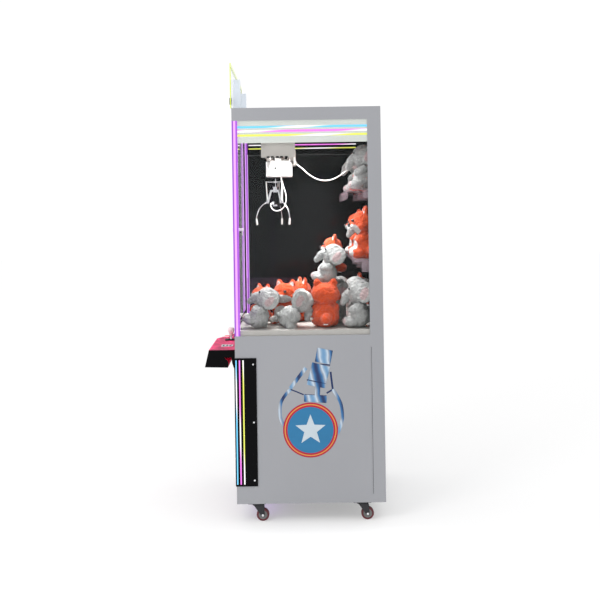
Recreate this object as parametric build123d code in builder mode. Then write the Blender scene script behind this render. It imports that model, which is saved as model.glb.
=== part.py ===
"""Claw crane machine: a grey steel cabinet on four swivel casters with clear sides, a front door,
a lit control console, a gantry with a three finger claw, prize shelves and plush prizes.

Frame: +Z up, the console faces -Y, +X is on the right of a player who faces the front.
The origin is on the floor under the middle of the whole machine. All sizes are millimetres.
"""

from build123d import *
from math import cos, hypot, pi, radians, sin, tan
import os

os.makedirs("parts", exist_ok=True)

# Cabinet
CABINET_WIDTH = 800.0
CABINET_DEPTH = 700.0
BASE_Z = 90.0
CABINET_TOP = 1950.0
CONSOLE_REACH = 153.0
SHEET = 2.0
HALF_WIDTH = CABINET_WIDTH / 2
FRONT_Y = -(CABINET_DEPTH + CONSOLE_REACH) / 2 + CONSOLE_REACH
REAR_Y = FRONT_Y + CABINET_DEPTH
INSIDE_X = HALF_WIDTH - SHEET
INSIDE_FRONT = FRONT_Y + SHEET
INSIDE_REAR = REAR_Y - SHEET

# Windows, deck and ceiling
WINDOW_LOW = 878.0
WINDOW_HIGH = 1890.0
WINDOW_REAR = REAR_Y - 64.0
GLASS = 5.0
CEILING_Z = 1902.0
DECK_TOP = 903.0
DECK_THICK = 5.0
CORNER_POST = 26.0

# Prize chute at the front left, and the flap it ends behind
CHUTE_RIGHT = -105.0
CHUTE_REAR = 31.5
CHUTE_LEFT = -390.0
FENCE_TOP = 1119.0
OUTLET_X = (-292.0, -122.0)
OUTLET_Z = (258.0, 478.0)
FLAP_AXIS_Y = -265.0
FLAP_AXIS_Z = 486.0

# Console
CONSOLE_HALF = 300.0
CONSOLE_TOP = 800.0
CONSOLE_WALL = 2.5
JOYSTICK_X = -60.0
JOYSTICK_Y = -326.5
JOYSTICK_PIVOT_Z = 785.0
JOYSTICK_BALL_Z = 850.0
BUTTON_X = -190.0
BUTTON_Y = -359.5
BUTTON_RADIUS = 12.0

# Light panels
CORNER_PANEL_LEG = 104.0
CORNER_PANEL = 4.0
CORNER_PANEL_Z = (174.0, 775.0)
LINE_OFFSETS = (9.0, 25.0, 42.0)
LINE_WIDTH = 6.0
LINE_DEPTH = 1.5
VALANCE_LOW = 1785.0
VALANCE_LINES_Z = (1860.0, 1841.0, 1821.0)
VALANCE_LINE = 10.0

# Doors
DOOR_HALF = 371.0
DOOR_LOW = 906.0
DOOR_HIGH = 1886.0
DOOR_DEPTH = 12.0
DOOR_STILE = 20.0
SERVICE_X = 260.0
SERVICE_Z = (200.0, 820.0)
COIN_X = (60.0, 240.0)
COIN_Z = (250.0, 560.0)
COIN_HINGE_X = 250.0
COIN_HINGE_Y = FRONT_Y - 3.5

# Casters
CASTER_X = 362.0
CASTER_Y = (-180.0, 315.0)
CASTER_TRAIL = 26.0
WHEEL_RADIUS = 30.0
WHEEL_WIDTH = 24.0

# Gantry and claw
RAIL_LEDGE_Z = 1790.0
BRIDGE_Y = -58.0
BRIDGE_HALF_DEPTH = 80.5
BRIDGE_END_X = 360.0
CLAW_X = -200.0
CLAW_Y = -86.5
COVER_LOW = 1651.5
COVER_HIGH = 1733.0
PIVOT_RADIUS = 46.0
PIVOT_Z = 1517.0
FINGER_TIP_Z = 1397.0
FINGER_ANGLES = (-76.0, 44.0, 164.0)

# Shelves
SHELF_UPPER_Z = 1561.0
SHELF_LOWER_Z = 1230.0
SHELF_HALF = 380.0


def save(piece, label):
    """Names a finished piece and writes its STEP file."""
    piece.part.label = label
    export_step(piece.part, f"parts/{label}.step")


def block(x, y, z, mode=Mode.ADD):
    """A box between two corners, given as (low, high) pairs on each axis."""
    middle = ((x[0] + x[1]) / 2, (y[0] + y[1]) / 2, (z[0] + z[1]) / 2)
    with Locations(middle):
        Box(x[1] - x[0], y[1] - y[0], z[1] - z[0], mode=mode)


def span(sign, low, high):
    """The pair (low, high) on the right side of the machine, mirrored when sign is -1."""
    return (low, high) if sign > 0 else (-high, -low)


# ---------------------------------------------------------------- base and casters

BASE_TUBE = 30.0
BASE_HEIGHT = 40.0
with BuildPart() as base_frame:
    block((-INSIDE_X, INSIDE_X), (INSIDE_FRONT, INSIDE_REAR), (BASE_Z, BASE_Z + BASE_HEIGHT))
    block(
        (-INSIDE_X + BASE_TUBE, INSIDE_X - BASE_TUBE),
        (INSIDE_FRONT + BASE_TUBE, INSIDE_REAR - BASE_TUBE),
        (BASE_Z, BASE_Z + BASE_HEIGHT),
        Mode.SUBTRACT,
    )
    for cross_y in CASTER_Y:
        block(
            (-INSIDE_X, INSIDE_X),
            (cross_y - BASE_TUBE, cross_y + BASE_TUBE),
            (BASE_Z, BASE_Z + BASE_HEIGHT),
        )
    block(
        (-INSIDE_X, INSIDE_X),
        (INSIDE_FRONT, INSIDE_REAR),
        (BASE_Z + BASE_HEIGHT, BASE_Z + BASE_HEIGHT + SHEET),
    )
save(base_frame, "base_frame")
FLOOR_Z = BASE_Z + BASE_HEIGHT + SHEET

PLATE_THICK = 3.0
RACE_HEIGHT = 8.0
FORK_TOP = BASE_Z - PLATE_THICK - RACE_HEIGHT - 0.3
FORK_WALL = 3.0
FORK_HALF = WHEEL_WIDTH / 2 + 1.0 + FORK_WALL
with BuildPart() as caster_plates:
    for side in (-1, 1):
        for caster_y in CASTER_Y:
            with BuildSketch(Plane.XY.offset(BASE_Z - PLATE_THICK)):
                with Locations((side * CASTER_X, caster_y)):
                    RectangleRounded(68, 86, 6)
                    with GridLocations(50, 68, 2, 2):
                        Circle(3.5, mode=Mode.SUBTRACT)
            extrude(amount=PLATE_THICK)
            with BuildSketch(Plane.XY.offset(BASE_Z - PLATE_THICK - RACE_HEIGHT)):
                with Locations((side * CASTER_X, caster_y)):
                    Circle(22)
            extrude(amount=RACE_HEIGHT)
save(caster_plates, "caster_plates")


def caster_fork(x, y):
    """A pressed steel fork: a disc under the race and two tapering cheeks down to the axle."""
    with BuildPart() as fork:
        with BuildSketch(Plane.XY.offset(FORK_TOP - FORK_WALL)):
            with Locations((x, y)):
                Circle(24)
            with Locations((x, y + 10)):
                Rectangle(2 * FORK_HALF, 26)
        extrude(amount=FORK_WALL)
        for cheek in (-1, 1):
            cheek_x = x + cheek * (FORK_HALF - FORK_WALL / 2)
            with BuildSketch(Plane.YZ.offset(cheek_x - FORK_WALL / 2)):
                with BuildLine():
                    Polyline(
                        (y - 16, FORK_TOP - FORK_WALL),
                        (y + 32, FORK_TOP - FORK_WALL),
                        (y + CASTER_TRAIL + 9, WHEEL_RADIUS - 2),
                        (y + CASTER_TRAIL + 4, WHEEL_RADIUS - 8.5),
                        (y + CASTER_TRAIL - 4, WHEEL_RADIUS - 8.5),
                        (y + CASTER_TRAIL - 9, WHEEL_RADIUS - 2),
                        close=True,
                    )
                make_face()
            extrude(amount=FORK_WALL)
        with Locations(Location((x, y + CASTER_TRAIL, WHEEL_RADIUS), (0, 90, 0))):
            Cylinder(4, 2 * FORK_HALF + 6)
    return fork


def caster_wheel(x, y):
    """A tyre on a hub, bored to run on the fork's axle."""
    with BuildPart() as wheel:
        with Locations(Location((x, y + CASTER_TRAIL, WHEEL_RADIUS), (0, 90, 0))):
            Cylinder(WHEEL_RADIUS, WHEEL_WIDTH)
            fillet(wheel.edges().filter_by(GeomType.CIRCLE), 5)
            for hub_side in (0, 180):
                with Locations(Location((0, 0, 0), (hub_side, 0, 0))):
                    with Locations((0, 0, WHEEL_WIDTH / 2 - 1.5)):
                        Cylinder(21, 3, mode=Mode.SUBTRACT)
            Cylinder(8, WHEEL_WIDTH)
            Cylinder(4.05, WHEEL_WIDTH, mode=Mode.SUBTRACT)
    return wheel


CASTERS = {
    "front_left": (-CASTER_X, CASTER_Y[0]),
    "front_right": (CASTER_X, CASTER_Y[0]),
    "rear_left": (-CASTER_X, CASTER_Y[1]),
    "rear_right": (CASTER_X, CASTER_Y[1]),
}
for corner, (corner_x, corner_y) in CASTERS.items():
    save(caster_fork(corner_x, corner_y), f"caster_fork_{corner}")
    save(caster_wheel(corner_x, corner_y), f"caster_wheel_{corner}")

# ---------------------------------------------------------------- cabinet shells and panels


def side_shell(sign):
    """One side: a folded sheet with its lower panel, rear post and top rail, open at the window."""
    with BuildPart() as shell:
        block(span(sign, INSIDE_X, HALF_WIDTH), (FRONT_Y, REAR_Y), (BASE_Z, CABINET_TOP))
        block(
            span(sign, HALF_WIDTH - CORNER_POST - SHEET, INSIDE_X),
            (FRONT_Y, INSIDE_FRONT),
            (BASE_Z, CABINET_TOP),
        )
        block(
            span(sign, HALF_WIDTH - CORNER_POST - SHEET, HALF_WIDTH),
            (FRONT_Y, WINDOW_REAR),
            (WINDOW_LOW, WINDOW_HIGH),
            Mode.SUBTRACT,
        )
        groove = span(sign, HALF_WIDTH - 0.8, HALF_WIDTH)
        block(groove, (WINDOW_REAR, WINDOW_REAR + 1.5), (130, 820), Mode.SUBTRACT)
    return shell


def side_panes():
    """The two clear side panes, each against the inside of its shell."""
    with BuildPart() as panes:
        for sign in (-1, 1):
            block(
                span(sign, INSIDE_X - GLASS, INSIDE_X),
                (FRONT_Y + CORNER_POST, WINDOW_REAR + 12),
                (WINDOW_LOW - 10, CEILING_Z),
            )
    return panes


save(side_shell(1), "side_shell_right")
save(side_shell(-1), "side_shell_left")
save(side_panes(), "side_glass")

with BuildPart() as roof_panel:
    block((-INSIDE_X, INSIDE_X), (INSIDE_FRONT, INSIDE_REAR), (CABINET_TOP - SHEET, CABINET_TOP))
    header_x = HALF_WIDTH - CORNER_POST - SHEET
    block((-header_x, header_x), (FRONT_Y, INSIDE_FRONT), (WINDOW_HIGH, CABINET_TOP))
save(roof_panel, "roof_panel")

with BuildPart() as ceiling_panel:
    block((-INSIDE_X, INSIDE_X), (INSIDE_FRONT, INSIDE_REAR), (CEILING_Z, CEILING_Z + 3))
save(ceiling_panel, "ceiling_panel")

INLET_X = -330.0
INLET_Z = 175.0
with BuildPart() as rear_panel:
    block((-INSIDE_X, INSIDE_X), (INSIDE_REAR, REAR_Y), (BASE_Z, CABINET_TOP))
    block((-SERVICE_X, SERVICE_X), (INSIDE_REAR, REAR_Y), SERVICE_Z, Mode.SUBTRACT)
    with Locations(Location((INLET_X, REAR_Y - SHEET / 2, INLET_Z), (90, 0, 0))):
        Box(28, 48, 4, mode=Mode.SUBTRACT)
save(rear_panel, "rear_panel")

with BuildPart() as power_inlet:
    block((INLET_X - 17.5, INLET_X + 17.5), (INSIDE_REAR - 2, INSIDE_REAR), (INLET_Z - 28, INLET_Z + 28))
    block((INLET_X - 13.9, INLET_X + 13.9), (INSIDE_REAR - 24, REAR_Y), (INLET_Z - 23.9, INLET_Z + 23.9))
    block((INLET_X - 8, INLET_X + 8), (REAR_Y - 16, REAR_Y), (INLET_Z - 12, INLET_Z + 12), Mode.SUBTRACT)
    for pin_z in (-7, 0, 7):
        pin_ends = (INLET_Z + pin_z - 2, INLET_Z + pin_z + 2)
        block((INLET_X - 1, INLET_X + 1), (REAR_Y - 16, REAR_Y - 3), pin_ends)
save(power_inlet, "power_inlet")

with BuildPart() as front_panel:
    block((-header_x, header_x), (FRONT_Y, INSIDE_FRONT), (BASE_Z, DECK_TOP))
    block(OUTLET_X, (FRONT_Y, INSIDE_FRONT), OUTLET_Z, Mode.SUBTRACT)
    block(COIN_X, (FRONT_Y, INSIDE_FRONT), COIN_Z, Mode.SUBTRACT)
    for lug_z in (262, 538):
        with BuildSketch(Plane.XY.offset(lug_z)):
            with Locations((COIN_HINGE_X, COIN_HINGE_Y)):
                Circle(5.5)
            with Locations((COIN_HINGE_X, (COIN_HINGE_Y + FRONT_Y) / 2)):
                Rectangle(11, abs(FRONT_Y - COIN_HINGE_Y))
            with Locations((COIN_HINGE_X, COIN_HINGE_Y)):
                Circle(3.05, mode=Mode.SUBTRACT)
        extrude(amount=10)
save(front_panel, "front_panel")

with BuildPart() as playfield_deck:
    deck_x = INSIDE_X - GLASS - 1
    block((-deck_x, deck_x), (INSIDE_FRONT, INSIDE_REAR), (DECK_TOP - DECK_THICK, DECK_TOP))
    block((-deck_x, deck_x), (INSIDE_FRONT, INSIDE_FRONT + 2), (DECK_TOP - 35, DECK_TOP))
    block((-deck_x, deck_x), (INSIDE_REAR - 2, INSIDE_REAR), (DECK_TOP - 35, DECK_TOP))
    for skirt_side in (-1, 1):
        block(
            span(skirt_side, deck_x - SHEET, deck_x),
            (FRONT_Y + CORNER_POST + 1, INSIDE_REAR),
            (DECK_TOP - 32, DECK_TOP),
        )
    block(
        (-deck_x, CHUTE_RIGHT),
        (INSIDE_FRONT, CHUTE_REAR),
        (DECK_TOP - 35, DECK_TOP),
        Mode.SUBTRACT,
    )
    block(
        (-deck_x, CHUTE_RIGHT + SHEET),
        (INSIDE_FRONT, CHUTE_REAR),
        (DECK_TOP - 35, DECK_TOP - DECK_THICK),
        Mode.SUBTRACT,
    )
save(playfield_deck, "playfield_deck")

FENCE_FRONT = FRONT_Y + CORNER_POST + 2
with BuildPart() as chute_fence:
    block((CHUTE_RIGHT, CHUTE_RIGHT + 5), (FENCE_FRONT, CHUTE_REAR + 5), (DECK_TOP, FENCE_TOP))
    block((CHUTE_LEFT, CHUTE_RIGHT), (CHUTE_REAR, CHUTE_REAR + 5), (DECK_TOP, FENCE_TOP))
save(chute_fence, "chute_fence")

# The duct under the deck: four walls, a floor that falls towards the outlet, and the flap's ears.
DUCT_TOP = DECK_TOP - DECK_THICK
DUCT_FLOOR = 240.0
DUCT_SLOPE = 0.25
DUCT_RIGHT = CHUTE_RIGHT + SHEET
DUCT_BACK = CHUTE_REAR + SHEET
EAR_X = (-303.0, -116.0)
with BuildPart() as prize_chute:
    rise = DUCT_SLOPE * (DUCT_BACK - INSIDE_FRONT)
    with BuildSketch(Plane.YZ.offset(CHUTE_LEFT)):
        with BuildLine():
            Polyline(
                (INSIDE_FRONT, DUCT_FLOOR - SHEET),
                (DUCT_BACK, DUCT_FLOOR - SHEET + rise),
                (DUCT_BACK, DUCT_TOP),
                (INSIDE_FRONT, DUCT_TOP),
                close=True,
            )
        make_face()
    extrude(amount=DUCT_RIGHT - CHUTE_LEFT)
    with BuildSketch(Plane.YZ.offset(CHUTE_LEFT + SHEET)):
        with BuildLine():
            Polyline(
                (INSIDE_FRONT + SHEET, DUCT_FLOOR),
                (DUCT_BACK - SHEET, DUCT_FLOOR + rise),
                (DUCT_BACK - SHEET, DUCT_TOP),
                (INSIDE_FRONT + SHEET, DUCT_TOP),
                close=True,
            )
        make_face()
    extrude(amount=DUCT_RIGHT - CHUTE_LEFT - 2 * SHEET, mode=Mode.SUBTRACT)
    block(OUTLET_X, (INSIDE_FRONT, INSIDE_FRONT + SHEET), OUTLET_Z, Mode.SUBTRACT)
    for ear_x in EAR_X:
        ear_depth = (INSIDE_FRONT + SHEET, FLAP_AXIS_Y + 6)
        block((ear_x, ear_x + 5), ear_depth, (FLAP_AXIS_Z - 7, FLAP_AXIS_Z + 7))
        with Locations(Location((ear_x + 2.5, FLAP_AXIS_Y, FLAP_AXIS_Z), (0, 90, 0))):
            Cylinder(2.55, 6, mode=Mode.SUBTRACT)
save(prize_chute, "prize_chute")

with BuildPart() as prize_flap:
    flap_x = (EAR_X[0] + 7, EAR_X[1] - 2)
    block(flap_x, (FLAP_AXIS_Y - 3.5, FLAP_AXIS_Y - 0.5), (252, FLAP_AXIS_Z))
    rod_middle = (EAR_X[0] + EAR_X[1] + 5) / 2
    with Locations(Location((rod_middle, FLAP_AXIS_Y, FLAP_AXIS_Z), (0, 90, 0))):
        Cylinder(2.5, EAR_X[1] - EAR_X[0] + 4)
save(prize_flap, "prize_flap")

with BuildPart() as coin_door:
    block((COIN_X[0] - 5, COIN_X[1] + 4), (FRONT_Y - 3, FRONT_Y), (COIN_Z[0] - 5, COIN_Z[1] + 5))
    block((COIN_X[1], COIN_HINGE_X), (COIN_HINGE_Y - 1, FRONT_Y - 1), (280, 530))
    with Locations((COIN_HINGE_X, COIN_HINGE_Y, 405)):
        Cylinder(3, 290)
    with Locations(Location((COIN_X[0] + 18, FRONT_Y - 4, 405), (90, 0, 0))):
        Cylinder(9, 8)
    block((118, 182), (FRONT_Y - 7, FRONT_Y - 3), (468, 532))
    for slot_x in (134, 166):
        block((slot_x - 1.5, slot_x + 1.5), (FRONT_Y - 7, FRONT_Y), (486, 514), Mode.SUBTRACT)
    block((122, 178), (FRONT_Y - 3, FRONT_Y), (300, 340), Mode.SUBTRACT)
save(coin_door, "coin_door")

with BuildPart() as service_door:
    gap = 2.0
    service_z = (SERVICE_Z[0] + gap, SERVICE_Z[1] - gap)
    block((-SERVICE_X + gap, SERVICE_X - gap), (INSIDE_REAR, REAR_Y), service_z)
    for louvre in range(6):
        louvre_z = 640 + 18 * louvre
        block((-80, 80), (INSIDE_REAR, REAR_Y), (louvre_z, louvre_z + 5), Mode.SUBTRACT)
    with Locations(Location((-SERVICE_X + 26, INSIDE_REAR - 4, 510), (90, 0, 0))):
        Cylinder(8, 12)
save(service_door, "service_door")

# ---------------------------------------------------------------- inside the cabinet

with BuildPart() as power_supply:
    block((120, 280), (160, 270), (FLOOR_Z, FLOOR_Z + 56))
    for vent in range(9):
        vent_x = 136 + 16 * vent
        block((vent_x, vent_x + 6), (176, 254), (FLOOR_Z + 53, FLOOR_Z + 56), Mode.SUBTRACT)
save(power_supply, "power_supply")

with BuildPart() as control_board:
    board_x = INSIDE_X - 12
    block((board_x - 1.6, board_x), (60, 230), (480, 620))
    for standoff_y in (70, 220):
        for standoff_z in (490, 610):
            with Locations(Location((board_x + 6, standoff_y, standoff_z), (0, 90, 0))):
                Cylinder(4, 12)
    for chip_y, chip_z, chip in ((110, 540, 30), (170, 560, 22), (190, 505, 16), (90, 590, 14)):
        chip_height = (chip_z - chip / 2, chip_z + chip / 2)
        block((board_x - 6, board_x - 1.6), (chip_y - chip, chip_y + chip), chip_height)
save(control_board, "control_board")

with BuildPart() as coin_box:
    block((70, 230), (-255, -95), (FLOOR_Z, 330))
    block((72, 228), (-253, -97), (FLOOR_Z + 2, 330), Mode.SUBTRACT)
    block((124, 176), (-257, -255), (286, 300))
save(coin_box, "coin_box")

# ---------------------------------------------------------------- light panels


def valance(sign):
    """A pale panel behind the top of a side window, with three shallow grooves for its light lines."""
    block(span(sign, 389, 393), (FRONT_Y + CORNER_POST, WINDOW_REAR + 8), (VALANCE_LOW, CEILING_Z))
    for line_z in VALANCE_LINES_Z:
        block(
            span(sign, 393 - LINE_DEPTH, 393),
            (FRONT_Y + CORNER_POST, WINDOW_REAR + 8),
            (line_z - VALANCE_LINE / 2, line_z + VALANCE_LINE / 2),
            Mode.SUBTRACT,
        )


with BuildPart() as valance_panels:
    for valance_side in (-1, 1):
        valance(valance_side)
save(valance_panels, "valance_panels")

LINE_Z = (CORNER_PANEL_Z[0] + 9, CORNER_PANEL_Z[1] - 9)
CORNER_FRONT = FRONT_Y - CORNER_PANEL
CORNER_OUT = HALF_WIDTH + CORNER_PANEL


def corner_lines(sign, mode):
    """The upright light lines of one corner panel, on its side leg and on its front leg."""
    for offset in LINE_OFFSETS:
        near = offset - LINE_WIDTH / 2
        far = offset + LINE_WIDTH / 2
        block(
            span(sign, CORNER_OUT - LINE_DEPTH, CORNER_OUT),
            (CORNER_FRONT + near, CORNER_FRONT + far),
            LINE_Z,
            mode,
        )
        block(
            span(sign, CORNER_OUT - far, CORNER_OUT - near),
            (CORNER_FRONT, CORNER_FRONT + LINE_DEPTH),
            LINE_Z,
            mode,
        )


with BuildPart() as corner_panels:
    for panel_side in (-1, 1):
        block(
            span(panel_side, HALF_WIDTH, CORNER_OUT),
            (CORNER_FRONT, CORNER_FRONT + CORNER_PANEL_LEG),
            CORNER_PANEL_Z,
        )
        block(
            span(panel_side, CORNER_OUT - CORNER_PANEL_LEG, CORNER_OUT),
            (CORNER_FRONT, FRONT_Y),
            CORNER_PANEL_Z,
        )
        corner_lines(panel_side, Mode.SUBTRACT)
save(corner_panels, "corner_panels")

with BuildPart() as light_lines:
    for panel_side in (-1, 1):
        corner_lines(panel_side, Mode.ADD)
        for line_z in VALANCE_LINES_Z:
            block(
                span(panel_side, 393 - LINE_DEPTH, 393),
                (FRONT_Y + CORNER_POST, WINDOW_REAR + 8),
                (line_z - VALANCE_LINE / 2, line_z + VALANCE_LINE / 2),
            )
save(light_lines, "light_lines")

with BuildPart() as panel_screws:
    for panel_side in (-1, 1):
        for screw_z in (202, 474, 746):
            with Locations(Location((panel_side * (CORNER_OUT + 0.75), FRONT_Y + 85, screw_z), (0, 90, 0))):
                Cylinder(4, 1.5)
            with Locations(Location((panel_side * 315, CORNER_FRONT - 0.75, screw_z), (90, 0, 0))):
                Cylinder(4, 1.5)
save(panel_screws, "panel_screws")

with BuildPart() as glow_strips:
    for post_side in (-1, 1):
        block(
            span(post_side, HALF_WIDTH - CORNER_POST, HALF_WIDTH),
            (FRONT_Y, FRONT_Y + CORNER_POST),
            (WINDOW_LOW, WINDOW_HIGH),
        )
        block(
            span(post_side, HALF_WIDTH - 3, HALF_WIDTH),
            (FRONT_Y + 9, FRONT_Y + 13),
            (WINDOW_LOW, WINDOW_HIGH),
            Mode.SUBTRACT,
        )
        block(
            span(post_side, HALF_WIDTH - CORNER_POST, HALF_WIDTH - 6),
            (INSIDE_FRONT, FRONT_Y + CORNER_POST),
            (WINDOW_LOW, DECK_TOP),
            Mode.SUBTRACT,
        )
    block((-290, 290), (-175, -120), (BASE_Z - 9, BASE_Z))
save(glow_strips, "glow_strips")

# ---------------------------------------------------------------- roof sign

with BuildPart() as topper_sign:
    block((-HALF_WIDTH, HALF_WIDTH), (FRONT_Y - 5, FRONT_Y - 1), (CABINET_TOP, 2165))
    sign_corners = topper_sign.edges().filter_by(Axis.Y).group_by(Axis.Z)[-1]
    fillet(sign_corners, 14)
save(topper_sign, "topper_sign")

with BuildPart() as topper_supports:
    for support_x in (-236, 236):
        block((support_x - 15, support_x + 15), (FRONT_Y - 1, FRONT_Y + 33), (CABINET_TOP, 2108))
        block((support_x - 22, support_x + 22), (FRONT_Y - 1, FRONT_Y + 44), (CABINET_TOP, CABINET_TOP + 5))
save(topper_supports, "topper_supports")

# ---------------------------------------------------------------- control console

CHAMFER_X = -120.0
CONSOLE_TOP_FRONT = -406.5
CHAMFER_SIDE = -335.5
LIP_FRONT = FRONT_Y - CONSOLE_REACH
CHEEK = 3.0


def console_block(start_x, width, inset):
    """The console's outer form between two upright planes, every face moved inwards by inset."""
    slope = (CHAMFER_SIDE - CONSOLE_TOP_FRONT) / (-CONSOLE_HALF - CHAMFER_X)
    lift = inset * hypot(1, slope)
    right = (CHAMFER_X + 80, CONSOLE_TOP_FRONT + slope * 80 + lift)
    left = (-CONSOLE_HALF - 20, CHAMFER_SIDE - slope * 20 + lift)
    with BuildPart() as form:
        with BuildSketch(Plane.YZ.offset(start_x)):
            with BuildLine():
                Polyline(
                    (FRONT_Y, CONSOLE_TOP),
                    (CONSOLE_TOP_FRONT, CONSOLE_TOP),
                    (LIP_FRONT, 718),
                    (-315.5, 715),
                    (-311.5, 737),
                    (-318.5, 750),
                    (-333.5, 764),
                    (-298.5, 762),
                    (-295, 737),
                    (-285, 706.6),
                    (FRONT_Y, 698),
                    close=True,
                )
            make_face()
            if inset:
                offset(amount=-inset, kind=Kind.INTERSECTION, mode=Mode.REPLACE)
        extrude(amount=width)
        with BuildSketch(Plane.XY.offset(690)):
            with BuildLine():
                Polyline(right, left, (left[0], LIP_FRONT - 40), (right[0], LIP_FRONT - 40), close=True)
            make_face()
        extrude(amount=120, mode=Mode.SUBTRACT)
    return form.part


JOYSTICK_WELL = 24.0
with BuildPart() as console_shell:
    add(console_block(CHEEK - CONSOLE_HALF, 2 * (CONSOLE_HALF - CHEEK), 0))
    add(console_block(CHEEK - CONSOLE_HALF, 2 * (CONSOLE_HALF - CHEEK), CONSOLE_WALL), mode=Mode.SUBTRACT)
    block(
        (JOYSTICK_X - JOYSTICK_WELL, JOYSTICK_X + JOYSTICK_WELL),
        (JOYSTICK_Y - JOYSTICK_WELL, JOYSTICK_Y + JOYSTICK_WELL),
        (CONSOLE_TOP - CONSOLE_WALL - 1, CONSOLE_TOP),
        Mode.SUBTRACT,
    )
    with Locations((BUTTON_X, BUTTON_Y, CONSOLE_TOP)):
        Cylinder(BUTTON_RADIUS + 0.3, 8, mode=Mode.SUBTRACT)
save(console_shell, "console_shell")

with BuildPart() as console_cheeks:
    for cheek_x in (-CONSOLE_HALF, CONSOLE_HALF - CHEEK):
        add(console_block(cheek_x, CHEEK, 0))
save(console_cheeks, "console_cheeks")

with BuildPart() as coin_slot_housing:
    with BuildSketch(Plane.YZ.offset(-240)):
        with BuildLine():
            Polyline((FRONT_Y, 800), (-321, 800), (-314, 845), (FRONT_Y, 845), close=True)
        make_face()
    extrude(amount=80)
    block((-201.5, -198.5), (-322, -306), (810, 838), Mode.SUBTRACT)
save(coin_slot_housing, "coin_slot_housing")

PIN = 2.0
RUN = 0.05
with BuildPart() as joystick_base:
    with BuildSketch(Plane.XY.offset(CONSOLE_TOP)):
        with Locations((JOYSTICK_X, JOYSTICK_Y)):
            RectangleRounded(62, 62, 8)
            Circle(15, mode=Mode.SUBTRACT)
    extrude(amount=3)
    with BuildSketch(Plane.XY.offset(768)):
        with Locations((JOYSTICK_X, JOYSTICK_Y)):
            Rectangle(2 * JOYSTICK_WELL, 2 * JOYSTICK_WELL)
    extrude(amount=32)
    block(
        (JOYSTICK_X - 21, JOYSTICK_X + 21),
        (JOYSTICK_Y - 21, JOYSTICK_Y + 21),
        (770, CONSOLE_TOP),
        Mode.SUBTRACT,
    )
    with Locations(Location((JOYSTICK_X, JOYSTICK_Y, JOYSTICK_PIVOT_Z), (0, 90, 0))):
        Cylinder(PIN + RUN, 2 * JOYSTICK_WELL, mode=Mode.SUBTRACT)
save(joystick_base, "joystick_base")

with BuildPart() as joystick_gimbal:
    with BuildSketch(Plane.XY.offset(JOYSTICK_PIVOT_Z - 3)):
        with Locations((JOYSTICK_X, JOYSTICK_Y)):
            Circle(17)
            Circle(12, mode=Mode.SUBTRACT)
    extrude(amount=6)
    for pin_side in (-1, 1):
        with Locations(Location((JOYSTICK_X + pin_side * 19, JOYSTICK_Y, JOYSTICK_PIVOT_Z), (0, 90, 0))):
            Cylinder(PIN, 9)
    with Locations(Location((JOYSTICK_X, JOYSTICK_Y, JOYSTICK_PIVOT_Z), (90, 0, 0))):
        Cylinder(PIN + RUN, 40, mode=Mode.SUBTRACT)
save(joystick_gimbal, "joystick_gimbal")

with BuildPart() as joystick_stick:
    with BuildSketch(Plane.XZ.offset(-JOYSTICK_Y)):
        with BuildLine():
            Polyline(
                (JOYSTICK_X, 774),
                (JOYSTICK_X + 4, 774),
                (JOYSTICK_X + 4, 779),
                (JOYSTICK_X + 7, 782),
                (JOYSTICK_X + 7, 788),
                (JOYSTICK_X + 4, 791),
                (JOYSTICK_X + 4, 818),
                (JOYSTICK_X + 8, 832),
                (JOYSTICK_X + 8, 845),
                (JOYSTICK_X, 845),
                close=True,
            )
        make_face()
    revolve(axis=Axis((JOYSTICK_X, JOYSTICK_Y, 0), (0, 0, 1)))
    with Locations((JOYSTICK_X, JOYSTICK_Y, JOYSTICK_BALL_Z)):
        Sphere(17)
    with Locations(Location((JOYSTICK_X, JOYSTICK_Y, JOYSTICK_PIVOT_Z), (90, 0, 0))):
        Cylinder(PIN, 32)
save(joystick_stick, "joystick_stick")

with BuildPart() as grab_button:
    with Locations((BUTTON_X, BUTTON_Y, 792)):
        Cylinder(BUTTON_RADIUS, 28)
    fillet(grab_button.edges().group_by(Axis.Z)[-1], 3.5)
save(grab_button, "grab_button")

# ---------------------------------------------------------------- front door

PIVOT_X = -364.0
PIVOT_Y = FRONT_Y + DOOR_DEPTH / 2
REBATE = 4.0
PANE_Y = (FRONT_Y + 3.5, FRONT_Y + 8.5)
LATCH_X = DOOR_HALF - DOOR_STILE / 2
LATCH_Z = 1378.0
opening_x = (DOOR_STILE - DOOR_HALF, DOOR_HALF - DOOR_STILE)
opening_z = (DOOR_LOW + DOOR_STILE, DOOR_HIGH - DOOR_STILE)
pane_x = (opening_x[0] - REBATE, opening_x[1] + REBATE)
pane_z = (opening_z[0] - REBATE, opening_z[1] + REBATE)

with BuildPart() as front_door_frame:
    block((-DOOR_HALF, DOOR_HALF), (FRONT_Y, FRONT_Y + DOOR_DEPTH), (DOOR_LOW, DOOR_HIGH))
    block(opening_x, (FRONT_Y, FRONT_Y + DOOR_DEPTH), opening_z, Mode.SUBTRACT)
    block(pane_x, PANE_Y, pane_z, Mode.SUBTRACT)
    for pin_z in (DOOR_LOW - 4, DOOR_HIGH + 4):
        with Locations((PIVOT_X, PIVOT_Y, pin_z)):
            Cylinder(4, 8)
    with Locations(Location((LATCH_X, FRONT_Y + 6, LATCH_Z), (90, 0, 0))):
        Cylinder(6, 14, mode=Mode.SUBTRACT)
save(front_door_frame, "front_door_frame")

with BuildPart() as front_glass:
    block(pane_x, PANE_Y, pane_z)
    with Locations(Location((LATCH_X, FRONT_Y + 6, LATCH_Z), (90, 0, 0))):
        Cylinder(6, 14, mode=Mode.SUBTRACT)
save(front_glass, "front_glass")

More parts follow.
